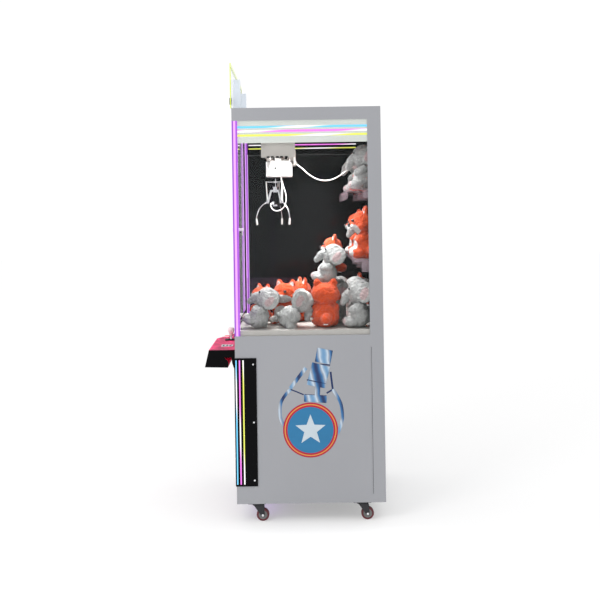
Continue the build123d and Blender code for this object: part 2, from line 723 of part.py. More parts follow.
with BuildPart() as door_latch:
    with Locations(Location((LATCH_X, FRONT_Y + 21, LATCH_Z), (90, 0, 0))):
        Cylinder(6, 50)
    with Locations(Location((LATCH_X, FRONT_Y - 2, LATCH_Z), (90, 0, 0))):
        Cylinder(9, 4)
    block((LATCH_X - 6, LATCH_X + 6), (FRONT_Y + 40, FRONT_Y + 43), (LATCH_Z - 28, LATCH_Z + 6))
save(door_latch, "door_latch")

# ---------------------------------------------------------------- gantry

ROLLER = 8.0
ROLLER_Y = (BRIDGE_Y - 60.5, BRIDGE_Y + 60.5)
TUBE_Z = (1735.0, 1765.0)
ROLLER_Z = RAIL_LEDGE_Z + 3 + ROLLER + 0.3
with BuildPart() as gantry_rails:
    for rail_side in (-1, 1):
        rail_run = (FRONT_Y + CORNER_POST, INSIDE_REAR - 14)
        block(span(rail_side, 384, 387), rail_run, (RAIL_LEDGE_Z, CEILING_Z))
        block(span(rail_side, 364, 387), rail_run, (RAIL_LEDGE_Z, RAIL_LEDGE_Z + 3))
save(gantry_rails, "gantry_rails")

ARM_X = -50.0
ARM_Y = (BRIDGE_Y + 70.5, BRIDGE_Y + 79.5)
ARM_TILT = 35.0
EXIT_LENGTH = 10.0
EXIT_Y = ARM_Y[1] - 1.5
EXIT_Z = 1716.0
with BuildPart() as bridge_beam:
    for tube_y in ROLLER_Y:
        block((3 - BRIDGE_END_X, BRIDGE_END_X - 3), (tube_y - 10, tube_y + 10), TUBE_Z)
    for end_side in (-1, 1):
        block(
            span(end_side, BRIDGE_END_X - 3, BRIDGE_END_X),
            (BRIDGE_Y - BRIDGE_HALF_DEPTH, BRIDGE_Y + BRIDGE_HALF_DEPTH),
            (1719, 1812),
        )
        for flange_z in (1719, 1782):
            block(
                span(end_side, BRIDGE_END_X - 22, BRIDGE_END_X - 3),
                (BRIDGE_Y - BRIDGE_HALF_DEPTH, BRIDGE_Y + BRIDGE_HALF_DEPTH),
                (flange_z, flange_z + 3),
            )
        for roller_y in ROLLER_Y:
            with Locations(Location((end_side * (BRIDGE_END_X + 7), roller_y, ROLLER_Z), (0, 90, 0))):
                Cylinder(ROLLER, 10)
            with Locations(Location((end_side * (BRIDGE_END_X + 1), roller_y, ROLLER_Z), (0, 90, 0))):
                Cylinder(3, 8)
    block((ARM_X - 12, ARM_X + 12), ARM_Y, (1706, 1765))
    exit_axis = Location((ARM_X, EXIT_Y, EXIT_Z), (90 + ARM_TILT, 0, 0))
    with Locations(exit_axis * Location((0, 0, -EXIT_LENGTH / 2))):
        Cylinder(4.5, EXIT_LENGTH)
save(bridge_beam, "bridge_beam")

with BuildPart() as bridge_motor:
    block((286, BRIDGE_END_X - 4), (BRIDGE_Y - 80.5, BRIDGE_Y + 52.5), (1785.2, 1842))
    block((290, 335), (BRIDGE_Y - 60, BRIDGE_Y + 60), (TUBE_Z[1], 1785.2))
    fillet(bridge_motor.edges().filter_by(Axis.X).group_by(Axis.Z)[-1], 8)
save(bridge_motor, "bridge_motor")

COVER_Y = -66.0
COVER_SIZE = (100.0, 140.0)
with BuildPart() as trolley_cover:
    block(
        (CLAW_X - COVER_SIZE[0] / 2, CLAW_X + COVER_SIZE[0] / 2),
        (COVER_Y - COVER_SIZE[1] / 2, COVER_Y + COVER_SIZE[1] / 2),
        (COVER_LOW, COVER_HIGH),
    )
    fillet(trolley_cover.edges().filter_by(Axis.Z), 6)
    fillet(trolley_cover.edges().group_by(Axis.Z)[0], 5)
    top_face = trolley_cover.faces().sort_by(Axis.Z)[-1]
    offset(amount=-2.5, openings=top_face)
    with Locations((CLAW_X, CLAW_Y, COVER_LOW)):
        Cylinder(8, 12, mode=Mode.SUBTRACT)
    for hole_side in (-1, 1):
        with Locations(Location((CLAW_X + hole_side * COVER_SIZE[0] / 2, CLAW_Y, 1698), (0, 90, 0))):
            Cylinder(7, 12, mode=Mode.SUBTRACT)
save(trolley_cover, "trolley_cover")

DRUM = 14.0
DRUM_Z = 1752.0
with BuildPart() as trolley_chassis:
    block((CLAW_X - 46, CLAW_X + 46), (BRIDGE_Y - 74, BRIDGE_Y + 74), (TUBE_Z[1] + 1, TUBE_Z[1] + 4))
    for hanger_y in (BRIDGE_Y - 48, BRIDGE_Y + 45):
        block((CLAW_X - 30, CLAW_X + 30), (hanger_y, hanger_y + 3), (COVER_HIGH, TUBE_Z[1] + 1))
        block((CLAW_X - 30, CLAW_X + 30), (hanger_y - 8, hanger_y + 11), (COVER_HIGH, COVER_HIGH + 2))
    for foot_x in (CLAW_X - COVER_SIZE[0] / 2, CLAW_X + COVER_SIZE[0] / 2 - 20):
        block((foot_x, foot_x + 20), (BRIDGE_Y - 48, BRIDGE_Y + 48), (COVER_HIGH, COVER_HIGH + 2))
    with Locations(Location((CLAW_X, CLAW_Y + DRUM, DRUM_Z), (0, 90, 0))):
        Cylinder(DRUM - 1.5, 26)
    block((CLAW_X + 12, CLAW_X + 30), (CLAW_Y - 2, CLAW_Y + 30), (DRUM_Z - 14, TUBE_Z[1] + 1))
    block((CLAW_X - 20, CLAW_X + 40), (CLAW_Y - 20, CLAW_Y + 50), (TUBE_Z[1] + 4, TUBE_Z[1] + 36))
save(trolley_chassis, "trolley_chassis")

# ---------------------------------------------------------------- claw

BODY_LOW = 1500.0
BODY_HIGH = 1600.0
ROD_TOP = 1643.0
LEVER_TOP = (52.0, 1630.0)
PIN_CLAW = 2.0
TERMINAL_ANGLE = -33.0
TERMINAL_Z = 1512.0


def radial_plane(angle):
    """The upright plane through the claw's axis at an angle: local x is outwards, local y is up."""
    turn = radians(angle)
    return Plane(
        origin=(CLAW_X, CLAW_Y, 0),
        x_dir=(cos(turn), sin(turn), 0),
        z_dir=(sin(turn), -cos(turn), 0),
    )


with BuildPart() as claw_body:
    with Locations((CLAW_X, CLAW_Y, (BODY_LOW + BODY_HIGH) / 2)):
        Cylinder(15, BODY_HIGH - BODY_LOW)
    with Locations((CLAW_X, CLAW_Y, BODY_LOW - 2), (CLAW_X, CLAW_Y, BODY_HIGH - 2), (CLAW_X, CLAW_Y, 1579)):
        Cylinder(18, 4)
    with Locations((CLAW_X, CLAW_Y, (BODY_HIGH + ROD_TOP) / 2)):
        Cylinder(2.5, ROD_TOP - BODY_HIGH)
    for angle in FINGER_ANGLES:
        plane = radial_plane(angle)
        for cheek_at in (-8.0, 6.0):
            with BuildSketch(plane.offset(cheek_at)):
                with BuildLine():
                    Polyline(
                        (10, 1584),
                        (30, 1584),
                        (52, 1522),
                        (52, 1511),
                        (41, 1511),
                        (24, 1574),
                        (10, 1574),
                        close=True,
                    )
                make_face()
            extrude(amount=2)
        with BuildSketch(plane.offset(-8.5)):
            with Locations((PIVOT_RADIUS, PIVOT_Z)):
                Circle(PIN_CLAW)
        extrude(amount=17)
    with BuildSketch(radial_plane(TERMINAL_ANGLE).offset(-6)):
        with Locations((19, TERMINAL_Z)):
            Rectangle(14, 18)
    extrude(amount=12)
save(claw_body, "claw_body")

with BuildPart() as claw_yoke:
    with BuildSketch(Plane.XY.offset(1622)):
        with Locations((CLAW_X, CLAW_Y)):
            Circle(12)
    extrude(amount=8)
    for angle in FINGER_ANGLES:
        with BuildSketch(radial_plane(angle).offset(-4)):
            with Locations((29, 1626)):
                Rectangle(38, 4)
        extrude(amount=8)
    with Locations((CLAW_X, CLAW_Y, 1626)):
        Cylinder(2.9, 12, mode=Mode.SUBTRACT)
save(claw_yoke, "claw_yoke")

FINGER_BOW = (
    (PIVOT_RADIUS, PIVOT_Z),
    (95.0, 1476.0),
    (107.0, 1436.0),
)
TIP = (104.0, FINGER_TIP_Z)


def claw_arm(angle):
    """One finger: a lever above its pivot, a bowed rod below it, and a soft sleeve on the tip."""
    plane = radial_plane(angle)
    with BuildPart() as arm:
        with BuildSketch(plane.offset(-5)):
            with BuildLine():
                Polyline(
                    (LEVER_TOP[0] - 2, LEVER_TOP[1]),
                    (LEVER_TOP[0] + 2, LEVER_TOP[1]),
                    (PIVOT_RADIUS + 4, PIVOT_Z),
                    (PIVOT_RADIUS - 2, PIVOT_Z),
                    close=True,
                )
            make_face()
            with Locations((PIVOT_RADIUS, PIVOT_Z)):
                Circle(5.5)
        extrude(amount=10)
        with BuildLine(plane) as bow:
            curve = ThreePointArc(*FINGER_BOW)
            Line(curve @ 1, TIP)
        with BuildSketch(Plane(origin=curve @ 0, z_dir=curve % 0)):
            Circle(2.5)
        sweep(path=bow.wires()[0], transition=Transition.ROUND)
        with BuildSketch(plane):
            with BuildLine():
                Polyline((100, 1430), (110, 1430), (109, FINGER_TIP_Z), (99, FINGER_TIP_Z), close=True)
            make_face()
        extrude(amount=5, both=True)
        with BuildSketch(plane.offset(-9)):
            with Locations((PIVOT_RADIUS, PIVOT_Z)):
                Circle(PIN_CLAW + RUN)
        extrude(amount=18, mode=Mode.SUBTRACT)
    return arm


for number, angle in enumerate(FINGER_ANGLES, start=1):
    save(claw_arm(angle), f"claw_arm_{number}")

with BuildPart() as hoist_cord:
    with Locations((CLAW_X, CLAW_Y, (ROD_TOP + DRUM_Z) / 2)):
        Cylinder(1.4, DRUM_Z - ROD_TOP)
save(hoist_cord, "hoist_cord")

# ---------------------------------------------------------------- cables


def corner_radii(points):
    """The largest arc for each corner of a route: 0.45 of its shorter run over tan(half the turn)."""
    radii = []
    for before, corner, after in zip(points, points[1:], points[2:]):
        run_in = Vector(corner) - Vector(before)
        run_out = Vector(after) - Vector(corner)
        turn = run_in.get_angle(run_out)
        radii.append(0.45 * min(run_in.length, run_out.length) / tan(radians(turn) / 2))
    return radii


def cable(name, points, diameter):
    """A round cable along a route of straight runs joined by tangent arcs."""
    radii = corner_radii(points)
    with BuildPart() as tube:
        with BuildLine() as route:
            FilletPolyline(*points, radius=radii)
        path = route.wires()[0]
        with BuildSketch(Plane(origin=path @ 0, z_dir=path % 0)):
            Circle(diameter / 2)
        sweep(path=path)
    wanted = path.length * pi * diameter**2 / 4
    print(name, "length", round(path.length, 1), "volume ratio", round(tube.part.volume / wanted, 4))
    print(name, "radii", [round(r, 1) for r in radii])
    return tube


exit_y = EXIT_Y + EXIT_LENGTH * cos(radians(ARM_TILT))
exit_z = EXIT_Z - EXIT_LENGTH * sin(radians(ARM_TILT))
GRIP_Y = INSIDE_REAR - 8.0
GRIP_Z = 1718.0
GANTRY_ROUTE = [
    (ARM_X, exit_y, exit_z),
    (ARM_X, exit_y + 24, exit_z - 24 * tan(radians(ARM_TILT))),
    (ARM_X, 84, 1661),
    (ARM_X, 121, 1636),
    (ARM_X, 155, 1624.5),
    (ARM_X, 188, 1622.5),
    (ARM_X, 220, 1630.5),
    (ARM_X, 250, 1646.5),
    (ARM_X, 281, 1668),
    (ARM_X, 314, 1690),
    (ARM_X, 350, 1708),
    (ARM_X, 385, GRIP_Z),
    (ARM_X, GRIP_Y, GRIP_Z),
]
save(cable("gantry_cable", GANTRY_ROUTE, 6.0), "gantry_cable")

TERMINAL_END = (
    CLAW_X + 26 * cos(radians(TERMINAL_ANGLE)),
    CLAW_Y + 26 * sin(radians(TERMINAL_ANGLE)),
    TERMINAL_Z,
)
TERMINAL_RUN = (
    CLAW_X + 46 * cos(radians(TERMINAL_ANGLE)),
    CLAW_Y + 46 * sin(radians(TERMINAL_ANGLE)),
    TERMINAL_Z,
)
CLAW_ROUTE = [
    (-160, -56, COVER_LOW - 1.5),
    (-152, -54, 1632),
    (-140, -43, 1598),
    (-127, -31, 1560),
    (-121, -29, 1526),
    (-123, -37, 1496),
    (-128, -57, 1475),
    (-134, -82, 1468),
    (-141, -104, 1478),
    (-147, -114, 1500),
    TERMINAL_RUN,
    TERMINAL_END,
]
save(cable("claw_cable", CLAW_ROUTE, 5.0), "claw_cable")

# ---------------------------------------------------------------- shelves

with BuildPart() as prize_shelves:
    block((-SHELF_HALF, SHELF_HALF), (264, INSIDE_REAR), (SHELF_UPPER_Z - 5, SHELF_UPPER_Z))
    block((-SHELF_HALF, SHELF_HALF), (264, 269), (SHELF_UPPER_Z - 44, SHELF_UPPER_Z))
    block((-SHELF_HALF, SHELF_HALF), (296, INSIDE_REAR), (SHELF_LOWER_Z - 12, SHELF_LOWER_Z))
    for bracket_x in (-SHELF_HALF, -6, SHELF_HALF - 12):
        block((bracket_x, bracket_x + 12), (330, INSIDE_REAR), (SHELF_LOWER_Z - 60, SHELF_LOWER_Z - 12))
        block((bracket_x, bracket_x + 12), (340, INSIDE_REAR), (SHELF_UPPER_Z - 40, SHELF_UPPER_Z - 5))
save(prize_shelves, "prize_shelves")

# ---------------------------------------------------------------- plush prizes


def seat(x, y, z, heading, lean=0.0, size=1.0):
    """Where a toy's body is: its centre, the way it faces (0 is -Y) and how far it leans back."""
    place = Location((x, y, z)) * Location((0, 0, 0), (0, 0, heading)) * Location((0, 0, 0), (-lean, 0, 0))
    return place, size


def ball(place, size, at, radius):
    """A soft ball in a toy's own axes."""
    with Locations(place * Location((at[0] * size, at[1] * size, at[2] * size))):
        Sphere(radius * size)


def elephant(place, size, feet=True):
    """A sitting plush elephant: body, big head, round ears, hanging trunk, arms and feet."""
    ball(place, size, (0, 0, 0), 52)
    ball(place, size, (0, -10, 98), 56)
    ball(place, size, (0, -62, 82), 17)
    ball(place, size, (0, -74, 62), 14)
    ball(place, size, (0, -80, 44), 12)
    for flank in (-1, 1):
        ball(place, size, (flank * 40, -22, 36), 19)
        if feet:
            ball(place, size, (flank * 32, -46, -26), 24)
        ear = Location((flank * 54 * size, 12 * size, 100 * size), (0, 90, 0))
        with Locations(place * ear):
            Cylinder(38 * size, 14 * size)


def fox(place, size, tail):
    """A sitting plush fox: body, head, muzzle, pointed ears, tail, arms and feet."""
    ball(place, size, (0, 0, 0), 46)
    ball(place, size, (0, -8, 84), 46)
    ball(place, size, (0, -46, 74), 19)
    ball(place, size, tail, 22)
    for flank in (-1, 1):
        ball(place, size, (flank * 36, -18, 32), 16)
        ball(place, size, (flank * 28, -40, -25), 20)
        ear = Location((flank * 25 * size, -4 * size, 132 * size))
        with Locations(place * ear):
            Cone(16 * size, 3 * size, 34 * size)


def sit_on(z, radius, size):
    """The height of a body's centre when it sits on a surface."""
    return z + radius * size + 0.5


ELEPHANT_BODY = 52.0
FOX_BODY = 46.0
ELEPHANTS = [
    (seat(300, -166, sit_on(DECK_TOP, ELEPHANT_BODY, 0.95), 0, 30, 0.95), True),
    (seat(292, -20, sit_on(DECK_TOP, ELEPHANT_BODY, 0.95), 180, -38, 0.95), False),
    (seat(308, 318, sit_on(DECK_TOP, ELEPHANT_BODY, 1.05), 0, 6, 1.05), True),
    (seat(215, 168, 1150, 0, 24, 0.95), True),
    (seat(255, 356, sit_on(SHELF_UPPER_Z, ELEPHANT_BODY, 1.02), 0, 4, 1.02), True),
    (seat(95, 215, sit_on(DECK_TOP, ELEPHANT_BODY, 1.0), 0, 10, 1.0), True),
    (seat(-90, 330, sit_on(DECK_TOP, ELEPHANT_BODY, 1.0), 20, 4, 1.0), True),
    (seat(-270, 200, sit_on(DECK_TOP, ELEPHANT_BODY, 1.0), -30, 10, 1.0), True),
    (seat(-250, 356, sit_on(SHELF_UPPER_Z, ELEPHANT_BODY, 1.0), 0, 4, 1.0), True),
    (seat(10, 366, sit_on(SHELF_LOWER_Z, ELEPHANT_BODY, 1.0), 0, 4, 1.0), True),
]
TAIL_BEHIND = (0, 50, -8)
TAIL_BESIDE = (44, 20, -14)
FOXES = [
    (seat(300, 158, sit_on(DECK_TOP, FOX_BODY, 1.15), -90, 0, 1.15), TAIL_BEHIND),
    (seat(95, 196, 1190, 0, 8, 1.0), TAIL_BEHIND),
    (seat(250, 362, sit_on(SHELF_LOWER_Z, FOX_BODY, 1.25), 0, 0, 1.25), TAIL_BESIDE),
    (seat(165, -40, sit_on(DECK_TOP, FOX_BODY, 1.1), 60, 6, 1.1), TAIL_BEHIND),
    (seat(20, 40, sit_on(DECK_TOP, FOX_BODY, 1.1), 20, 4, 1.1), TAIL_BEHIND),
    (seat(150, -160, sit_on(DECK_TOP, FOX_BODY, 1.0), 40, 8, 1.0), TAIL_BEHIND),
    (seat(-90, 165, sit_on(DECK_TOP, FOX_BODY, 1.1), -20, 4, 1.1), TAIL_BEHIND),
    (seat(-290, 366, sit_on(DECK_TOP, FOX_BODY, 1.1), 0, 0, 1.1), TAIL_BESIDE),
    (seat(80, 362, sit_on(SHELF_UPPER_Z, FOX_BODY, 1.1), 0, 2, 1.1), TAIL_BESIDE),
    (seat(-230, 362, sit_on(SHELF_LOWER_Z, FOX_BODY, 1.2), 0, 0, 1.2), TAIL_BESIDE),
]

with BuildPart() as plush_elephants:
    for (place, size), feet in ELEPHANTS:
        elephant(place, size, feet)
save(plush_elephants, "plush_elephants")

with BuildPart() as plush_foxes:
    for (place, size), tail in FOXES:
        fox(place, size, tail)
save(plush_foxes, "plush_foxes")
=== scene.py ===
"""Looks of a claw crane machine: camera, light, cables, finishes and the pieces that CAD leaves plain.

Metres throughout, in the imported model's frame: +Z up, the console faces -Y.
"""

import logging
from dataclasses import dataclass
from enum import Enum
from math import cos, pi, radians, sin

import bpy
from mathutils import Matrix, Vector


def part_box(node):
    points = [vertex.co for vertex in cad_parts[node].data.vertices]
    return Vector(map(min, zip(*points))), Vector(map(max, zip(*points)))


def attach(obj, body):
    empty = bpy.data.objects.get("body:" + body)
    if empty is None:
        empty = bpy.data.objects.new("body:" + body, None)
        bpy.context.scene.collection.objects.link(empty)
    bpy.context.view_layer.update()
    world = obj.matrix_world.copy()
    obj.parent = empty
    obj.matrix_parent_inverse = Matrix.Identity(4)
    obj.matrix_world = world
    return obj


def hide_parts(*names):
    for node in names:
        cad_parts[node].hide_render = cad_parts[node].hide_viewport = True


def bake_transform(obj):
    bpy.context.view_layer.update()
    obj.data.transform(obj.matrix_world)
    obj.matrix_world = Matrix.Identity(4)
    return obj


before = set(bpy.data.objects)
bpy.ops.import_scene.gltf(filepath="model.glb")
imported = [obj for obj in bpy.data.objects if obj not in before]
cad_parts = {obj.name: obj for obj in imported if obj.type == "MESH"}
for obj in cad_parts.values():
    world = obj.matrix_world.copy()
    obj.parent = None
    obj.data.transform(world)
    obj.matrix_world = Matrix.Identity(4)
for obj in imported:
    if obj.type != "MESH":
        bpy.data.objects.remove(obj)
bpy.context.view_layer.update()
LOW, HIGH = 0, 1
X, Y, Z = 0, 1, 2
Point = tuple[float, float, float]
Colour = tuple[float, float, float]
Outline = tuple[tuple[float, float], ...]
report = logging.getLogger("claw_crane")


# ---------------------------------------------------------------- shared making


def middle_of(node: str) -> Vector:
    """The middle of a CAD node's box."""
    low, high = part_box(node)
    return (Vector(low) + Vector(high)) / 2


def unselect() -> None:
    """Leaves nothing selected, in object mode."""
    if bpy.context.object is not None and bpy.context.object.mode != "OBJECT":
        bpy.ops.object.mode_set(mode="OBJECT")
    bpy.ops.object.select_all(action="DESELECT")


def seal(name: str, finish: "Finish", angle: float = 35.0) -> bpy.types.Object:
    """Names the active object, puts its place into its mesh and gives it a finish.

    Args:
        name: The piece's name.
        finish: The finish it takes.
        angle: Edges flatter than this, in degrees, are shaded smooth.

    Returns:
        The finished object, at the origin.
    """
    piece = bpy.context.object
    bpy.ops.object.transform_apply(location=True, rotation=True, scale=True)
    piece.name = name
    piece.data.materials.clear()
    piece.data.materials.append(finish.material())
    bpy.ops.object.shade_smooth_by_angle(angle=radians(angle))
    return piece


def modifier(piece: bpy.types.Object, kind: str, **settings: object) -> None:
    """Adds a modifier with these settings and applies it.

    Args:
        piece: The piece.
        kind: The modifier's type.
        **settings: Its settings.
    """
    made = piece.modifiers.new(kind.lower(), kind)
    for key, value in settings.items():
        setattr(made, key, value)
    bpy.context.view_layer.objects.active = piece
    bpy.ops.object.modifier_apply(modifier=made.name)


def slab(name: str, low: Point, high: Point, finish: "Finish", edge: float = 0.001) -> bpy.types.Object:
    """A plate or block between two corners, with every edge rounded.

    Args:
        name: The piece's name.
        low: Its lowest corner.
        high: Its highest corner.
        finish: Its finish.
        edge: The radius of its edges.

    Returns:
        The block.
    """
    unselect()
    middle = [(a + b) / 2 for a, b in zip(low, high)]
    bpy.ops.mesh.primitive_cube_add(size=1, location=middle, scale=[b - a for a, b in zip(low, high)])
    bpy.ops.object.transform_apply(location=False, rotation=False, scale=True)
    bpy.ops.object.mode_set(mode="EDIT")
    bpy.ops.mesh.select_all(action="SELECT")
    bpy.ops.mesh.bevel(offset=edge, segments=3, affect="EDGES")
    bpy.ops.object.mode_set(mode="OBJECT")
    return seal(name, finish)


def rod(
    name: str, start: Point, end: Point, radius: float, finish: "Finish", sides: int = 32
) -> bpy.types.Object:
    """A round bar between two points, with its rims rounded.

    Args:
        name: The piece's name.
        start: The middle of one end.
        end: The middle of the other end.
        radius: Its radius.
        finish: Its finish.
        sides: How many sides its round has.

    Returns:
        The bar.
    """
    unselect()
    run = Vector(end) - Vector(start)
    turn = run.to_track_quat("Z", "Y").to_euler()
    middle = (Vector(start) + Vector(end)) / 2
    bpy.ops.mesh.primitive_cylinder_add(
        vertices=sides, radius=radius, depth=run.length, location=middle, rotation=turn
    )
    bpy.ops.object.mode_set(mode="EDIT")
    bpy.ops.mesh.select_mode(type="FACE")
    bpy.ops.mesh.select_all(action="DESELECT")
    bpy.ops.object.mode_set(mode="OBJECT")
    for face in bpy.context.object.data.polygons:
        face.select = len(face.vertices) > 4
    bpy.ops.object.mode_set(mode="EDIT")
    bpy.ops.mesh.bevel(offset=min(radius, run.length) * 0.2, segments=3, affect="EDGES")
    bpy.ops.object.mode_set(mode="OBJECT")
    return seal(name, finish)


def turned(
    name: str, outline: list[tuple[float, float]], centre: Point, finish: "Finish"
) -> bpy.types.Object:
    """A round piece turned about an upright axis.

    Args:
        name: The piece's name.
        outline: (radius, height) pairs from its bottom to its top, on the axis at both ends or closed.
        centre: Where height nought is on the axis.
        finish: Its finish.

    Returns:
        The turned piece.
    """
    unselect()
    bpy.ops.mesh.primitive_plane_add(size=1, location=centre)
    bpy.ops.object.mode_set(mode="EDIT")
    bpy.ops.mesh.select_mode(type="VERT")
    bpy.ops.mesh.select_all(action="SELECT")
    bpy.ops.mesh.merge(type="CENTER")
    bpy.ops.transform.translate(value=(outline[0][0], 0, outline[0][1]))
    for (radius, height), (next_radius, next_height) in zip(outline, outline[1:]):
        step = (next_radius - radius, 0, next_height - height)
        bpy.ops.mesh.extrude_region_move(TRANSFORM_OT_translate={"value": step})
    bpy.ops.mesh.select_all(action="SELECT")
    bpy.ops.mesh.spin(steps=40, angle=2 * pi, center=centre, axis=(0, 0, 1))
    bpy.ops.mesh.select_all(action="SELECT")
    bpy.ops.mesh.remove_doubles(threshold=1e-5)
    bpy.ops.mesh.normals_make_consistent(inside=False)
    bpy.ops.object.mode_set(mode="OBJECT")
    return seal(name, finish, 50)


def smooth_line(points: list[Point]) -> bpy.types.Object:
    """A curve object of one smooth spline with these control points.

    Args:
        points: The control points.

    Returns:
        The curve object.
    """
    data = bpy.data.curves.new("line", "CURVE")
    data.dimensions = "3D"
    spline = data.splines.new("NURBS")
    spline.points.add(len(points) - 1)
    for spot, place in zip(spline.points, points):
        spot.co = (*place, 1)
    spline.order_u = 3
    spline.use_endpoint_u = True
    spline.resolution_u = 10
    made = bpy.data.objects.new("line", data)
    bpy.context.scene.collection.objects.link(made)
    return made


def tube(
    name: str, points: list[Point], radius: float, finish: "Finish"
) -> tuple[bpy.types.Object, list[Point]]:
    """A round tube along a smooth line.

    Args:
        name: The piece's name.
        points: The line's control points.
        radius: The tube's radius.
        finish: Its finish.

    Returns:
        The tube's mesh object and the points of its centre line.
    """
    unselect()
    line = smooth_line(points)
    bare = bpy.data.meshes.new_from_object(line)
    centre = [tuple(v.co) for v in bare.vertices]
    bpy.data.meshes.remove(bare)
    line.data.bevel_depth = radius
    line.data.bevel_resolution = 4
    line.data.use_fill_caps = True
    piece = bpy.data.objects.new(name, bpy.data.meshes.new_from_object(line))
    bpy.context.scene.collection.objects.link(piece)
    bpy.data.objects.remove(line)
    bpy.context.view_layer.objects.active = piece
    piece.select_set(True)
    return seal(name, finish, 60), centre


def join(name: str, pieces: list[bpy.types.Object]) -> bpy.types.Object:
    """Joins pieces into one, which keeps all their finishes.

    Args:
        name: Its name.
        pieces: The pieces; the first one stays.

    Returns:
        The joined piece.
    """
    unselect()
    for piece in pieces:
        piece.select_set(True)
    bpy.context.view_layer.objects.active = pieces[0]
    bpy.ops.object.join()
    pieces[0].name = name
    return pieces[0]


# ---------------------------------------------------------------- finishes


class Graph:
    """One material and the short calls that fill its node tree."""

    def __init__(self, name: str) -> None:
        """Starts a material with its shader and the object's own coordinates.

        Args:
            name: Its name.
        """
        self.material = bpy.data.materials.new(name)
        self.material.use_nodes = True
        self.tree = self.material.node_tree
        self.shader = self.tree.nodes["Principled BSDF"]
        self.place = self.tree.nodes.new("ShaderNodeTexCoord").outputs["Object"]

    def node(self, kind: str, inputs: dict, out: int | str = 0, **settings: object) -> bpy.types.NodeSocket:
        """Adds a node.

        Args:
            kind: The node's type, without its ShaderNode prefix.
            inputs: Values or sockets for its inputs, by name or number.
            out: The output wanted.
            **settings: The node's own settings.

        Returns:
            The wanted output socket.
        """
        made = self.tree.nodes.new("ShaderNode" + kind)
        for key, value in settings.items():
            setattr(made, key, value)
        for key, value in inputs.items():
            if isinstance(value, bpy.types.NodeSocket):
                self.tree.links.new(value, made.inputs[key])
            else:
                made.inputs[key].default_value = value
        return made.outputs[out]

    def noise(self, scale: float, detail: float = 3.0, stretch: Point = (1, 1, 1)) -> bpy.types.NodeSocket:
        """Noise on the object's coordinates, stretched on each axis."""
        place = self.node("Mapping", {"Vector": self.place, "Scale": stretch})
        return self.node("TexNoise", {"Vector": place, "Scale": scale, "Detail": detail})

    def axis(self, name: str) -> bpy.types.NodeSocket:
        """The object's own X, Y or Z, in metres."""
        return self.node("SeparateXYZ", {0: self.place}, name)

    def maths(self, kind: str, a: object, b: object = 0.0) -> bpy.types.NodeSocket:
        """One step of arithmetic."""
        return self.node("Math", {0: a, 1: b}, operation=kind)

    def between(self, value: object, low: float, high: float) -> bpy.types.NodeSocket:
        """The value as nought at low and one at high, held between them."""
        return self.node("MapRange", {"Value": value, "From Min": low, "From Max": high})

    def ramp(
        self, factor: object, stops: list[tuple[float, Colour]], steps: bool = False
    ) -> bpy.types.NodeSocket:
        """A colour that goes through the stops as the factor rises.

        Args:
            factor: What moves along the stops.
            stops: The places from nought to one and their colours.
            steps: Whether each colour holds until the next stop.

        Returns:
            The colour's socket.
        """
        made = self.tree.nodes.new("ShaderNodeValToRGB")
        band = made.color_ramp
        band.interpolation = "CONSTANT" if steps else "LINEAR"
        while len(band.elements) < len(stops):
            band.elements.new(1.0)
        for element, (at, colour) in zip(band.elements, stops):
            element.position = at
            element.color = (*colour, 1)
        self.tree.links.new(factor, made.inputs[0])
        return made.outputs[0]

    def mix(self, factor: object, a: object, b: object) -> bpy.types.NodeSocket:
        """A blend of two colours."""
        colours = [(*c, 1) if isinstance(c, tuple) else c for c in (a, b)]
        return self.node("Mix", {0: factor, 6: colours[0], 7: colours[1]}, 2, data_type="RGBA")

    def bump(self, height: object, strength: float, distance: float) -> None:
        """Gives the shader a bump from a height."""
        made = self.node("Bump", {"Height": height, "Strength": strength, "Distance": distance})
        self.tree.links.new(made, self.shader.inputs["Normal"])

    def give(self, sockets: dict) -> None:
        """Sets the shader's inputs to values, colours or other nodes' outputs."""
        for key, value in sockets.items():
            if isinstance(value, bpy.types.NodeSocket):
                self.tree.links.new(value, self.shader.inputs[key])
            elif isinstance(value, tuple):
                self.shader.inputs[key].default_value = (*value, 1)
            else:
                self.shader.inputs[key].default_value = value


@dataclass(frozen=True)
class Finish:
    """A named surface finish. Each kind fills its own node tree."""

    name: str
    colour: Colour

    def fill(self, graph: Graph) -> None:
        """Fills the finish's node tree."""
        raise NotImplementedError

    def material(self) -> bpy.types.Material:
        """The finish's material, made once.

        Returns:
            The material, new or as it was made before.
        """
        made = bpy.data.materials.get(self.name)
        if made is None:
            graph = Graph(self.name)
            self.fill(graph)
            made = graph.material
        return made


def shade(colour: Colour, times: float) -> Colour:
    """A colour made lighter or darker."""
    return tuple(min(1.0, c * times) for c in colour)


@dataclass(frozen=True)
class PowderCoat(Finish):
    """Baked powder paint: fine orange peel and slow changes of tone."""

    roughness: float = 0.42
    peel: float = 0.05

    def fill(self, graph: Graph) -> None:
        """Colour from slow noise, roughness from middle noise, bump from fine noise.

        Args:
            graph: The material being filled.
        """
        tone = graph.noise(1.6, 2)
        graph.give({"Base Color": graph.mix(tone, shade(self.colour, 0.93), shade(self.colour, 1.06))})
        rough = graph.node(
            "MapRange",
            {"Value": graph.noise(22), "To Min": self.roughness - 0.05, "To Max": self.roughness + 0.08},
        )
        graph.give({"Roughness": rough, "Specular IOR Level": 0.45})
        graph.bump(graph.noise(900, 2), self.peel, 0.0006)


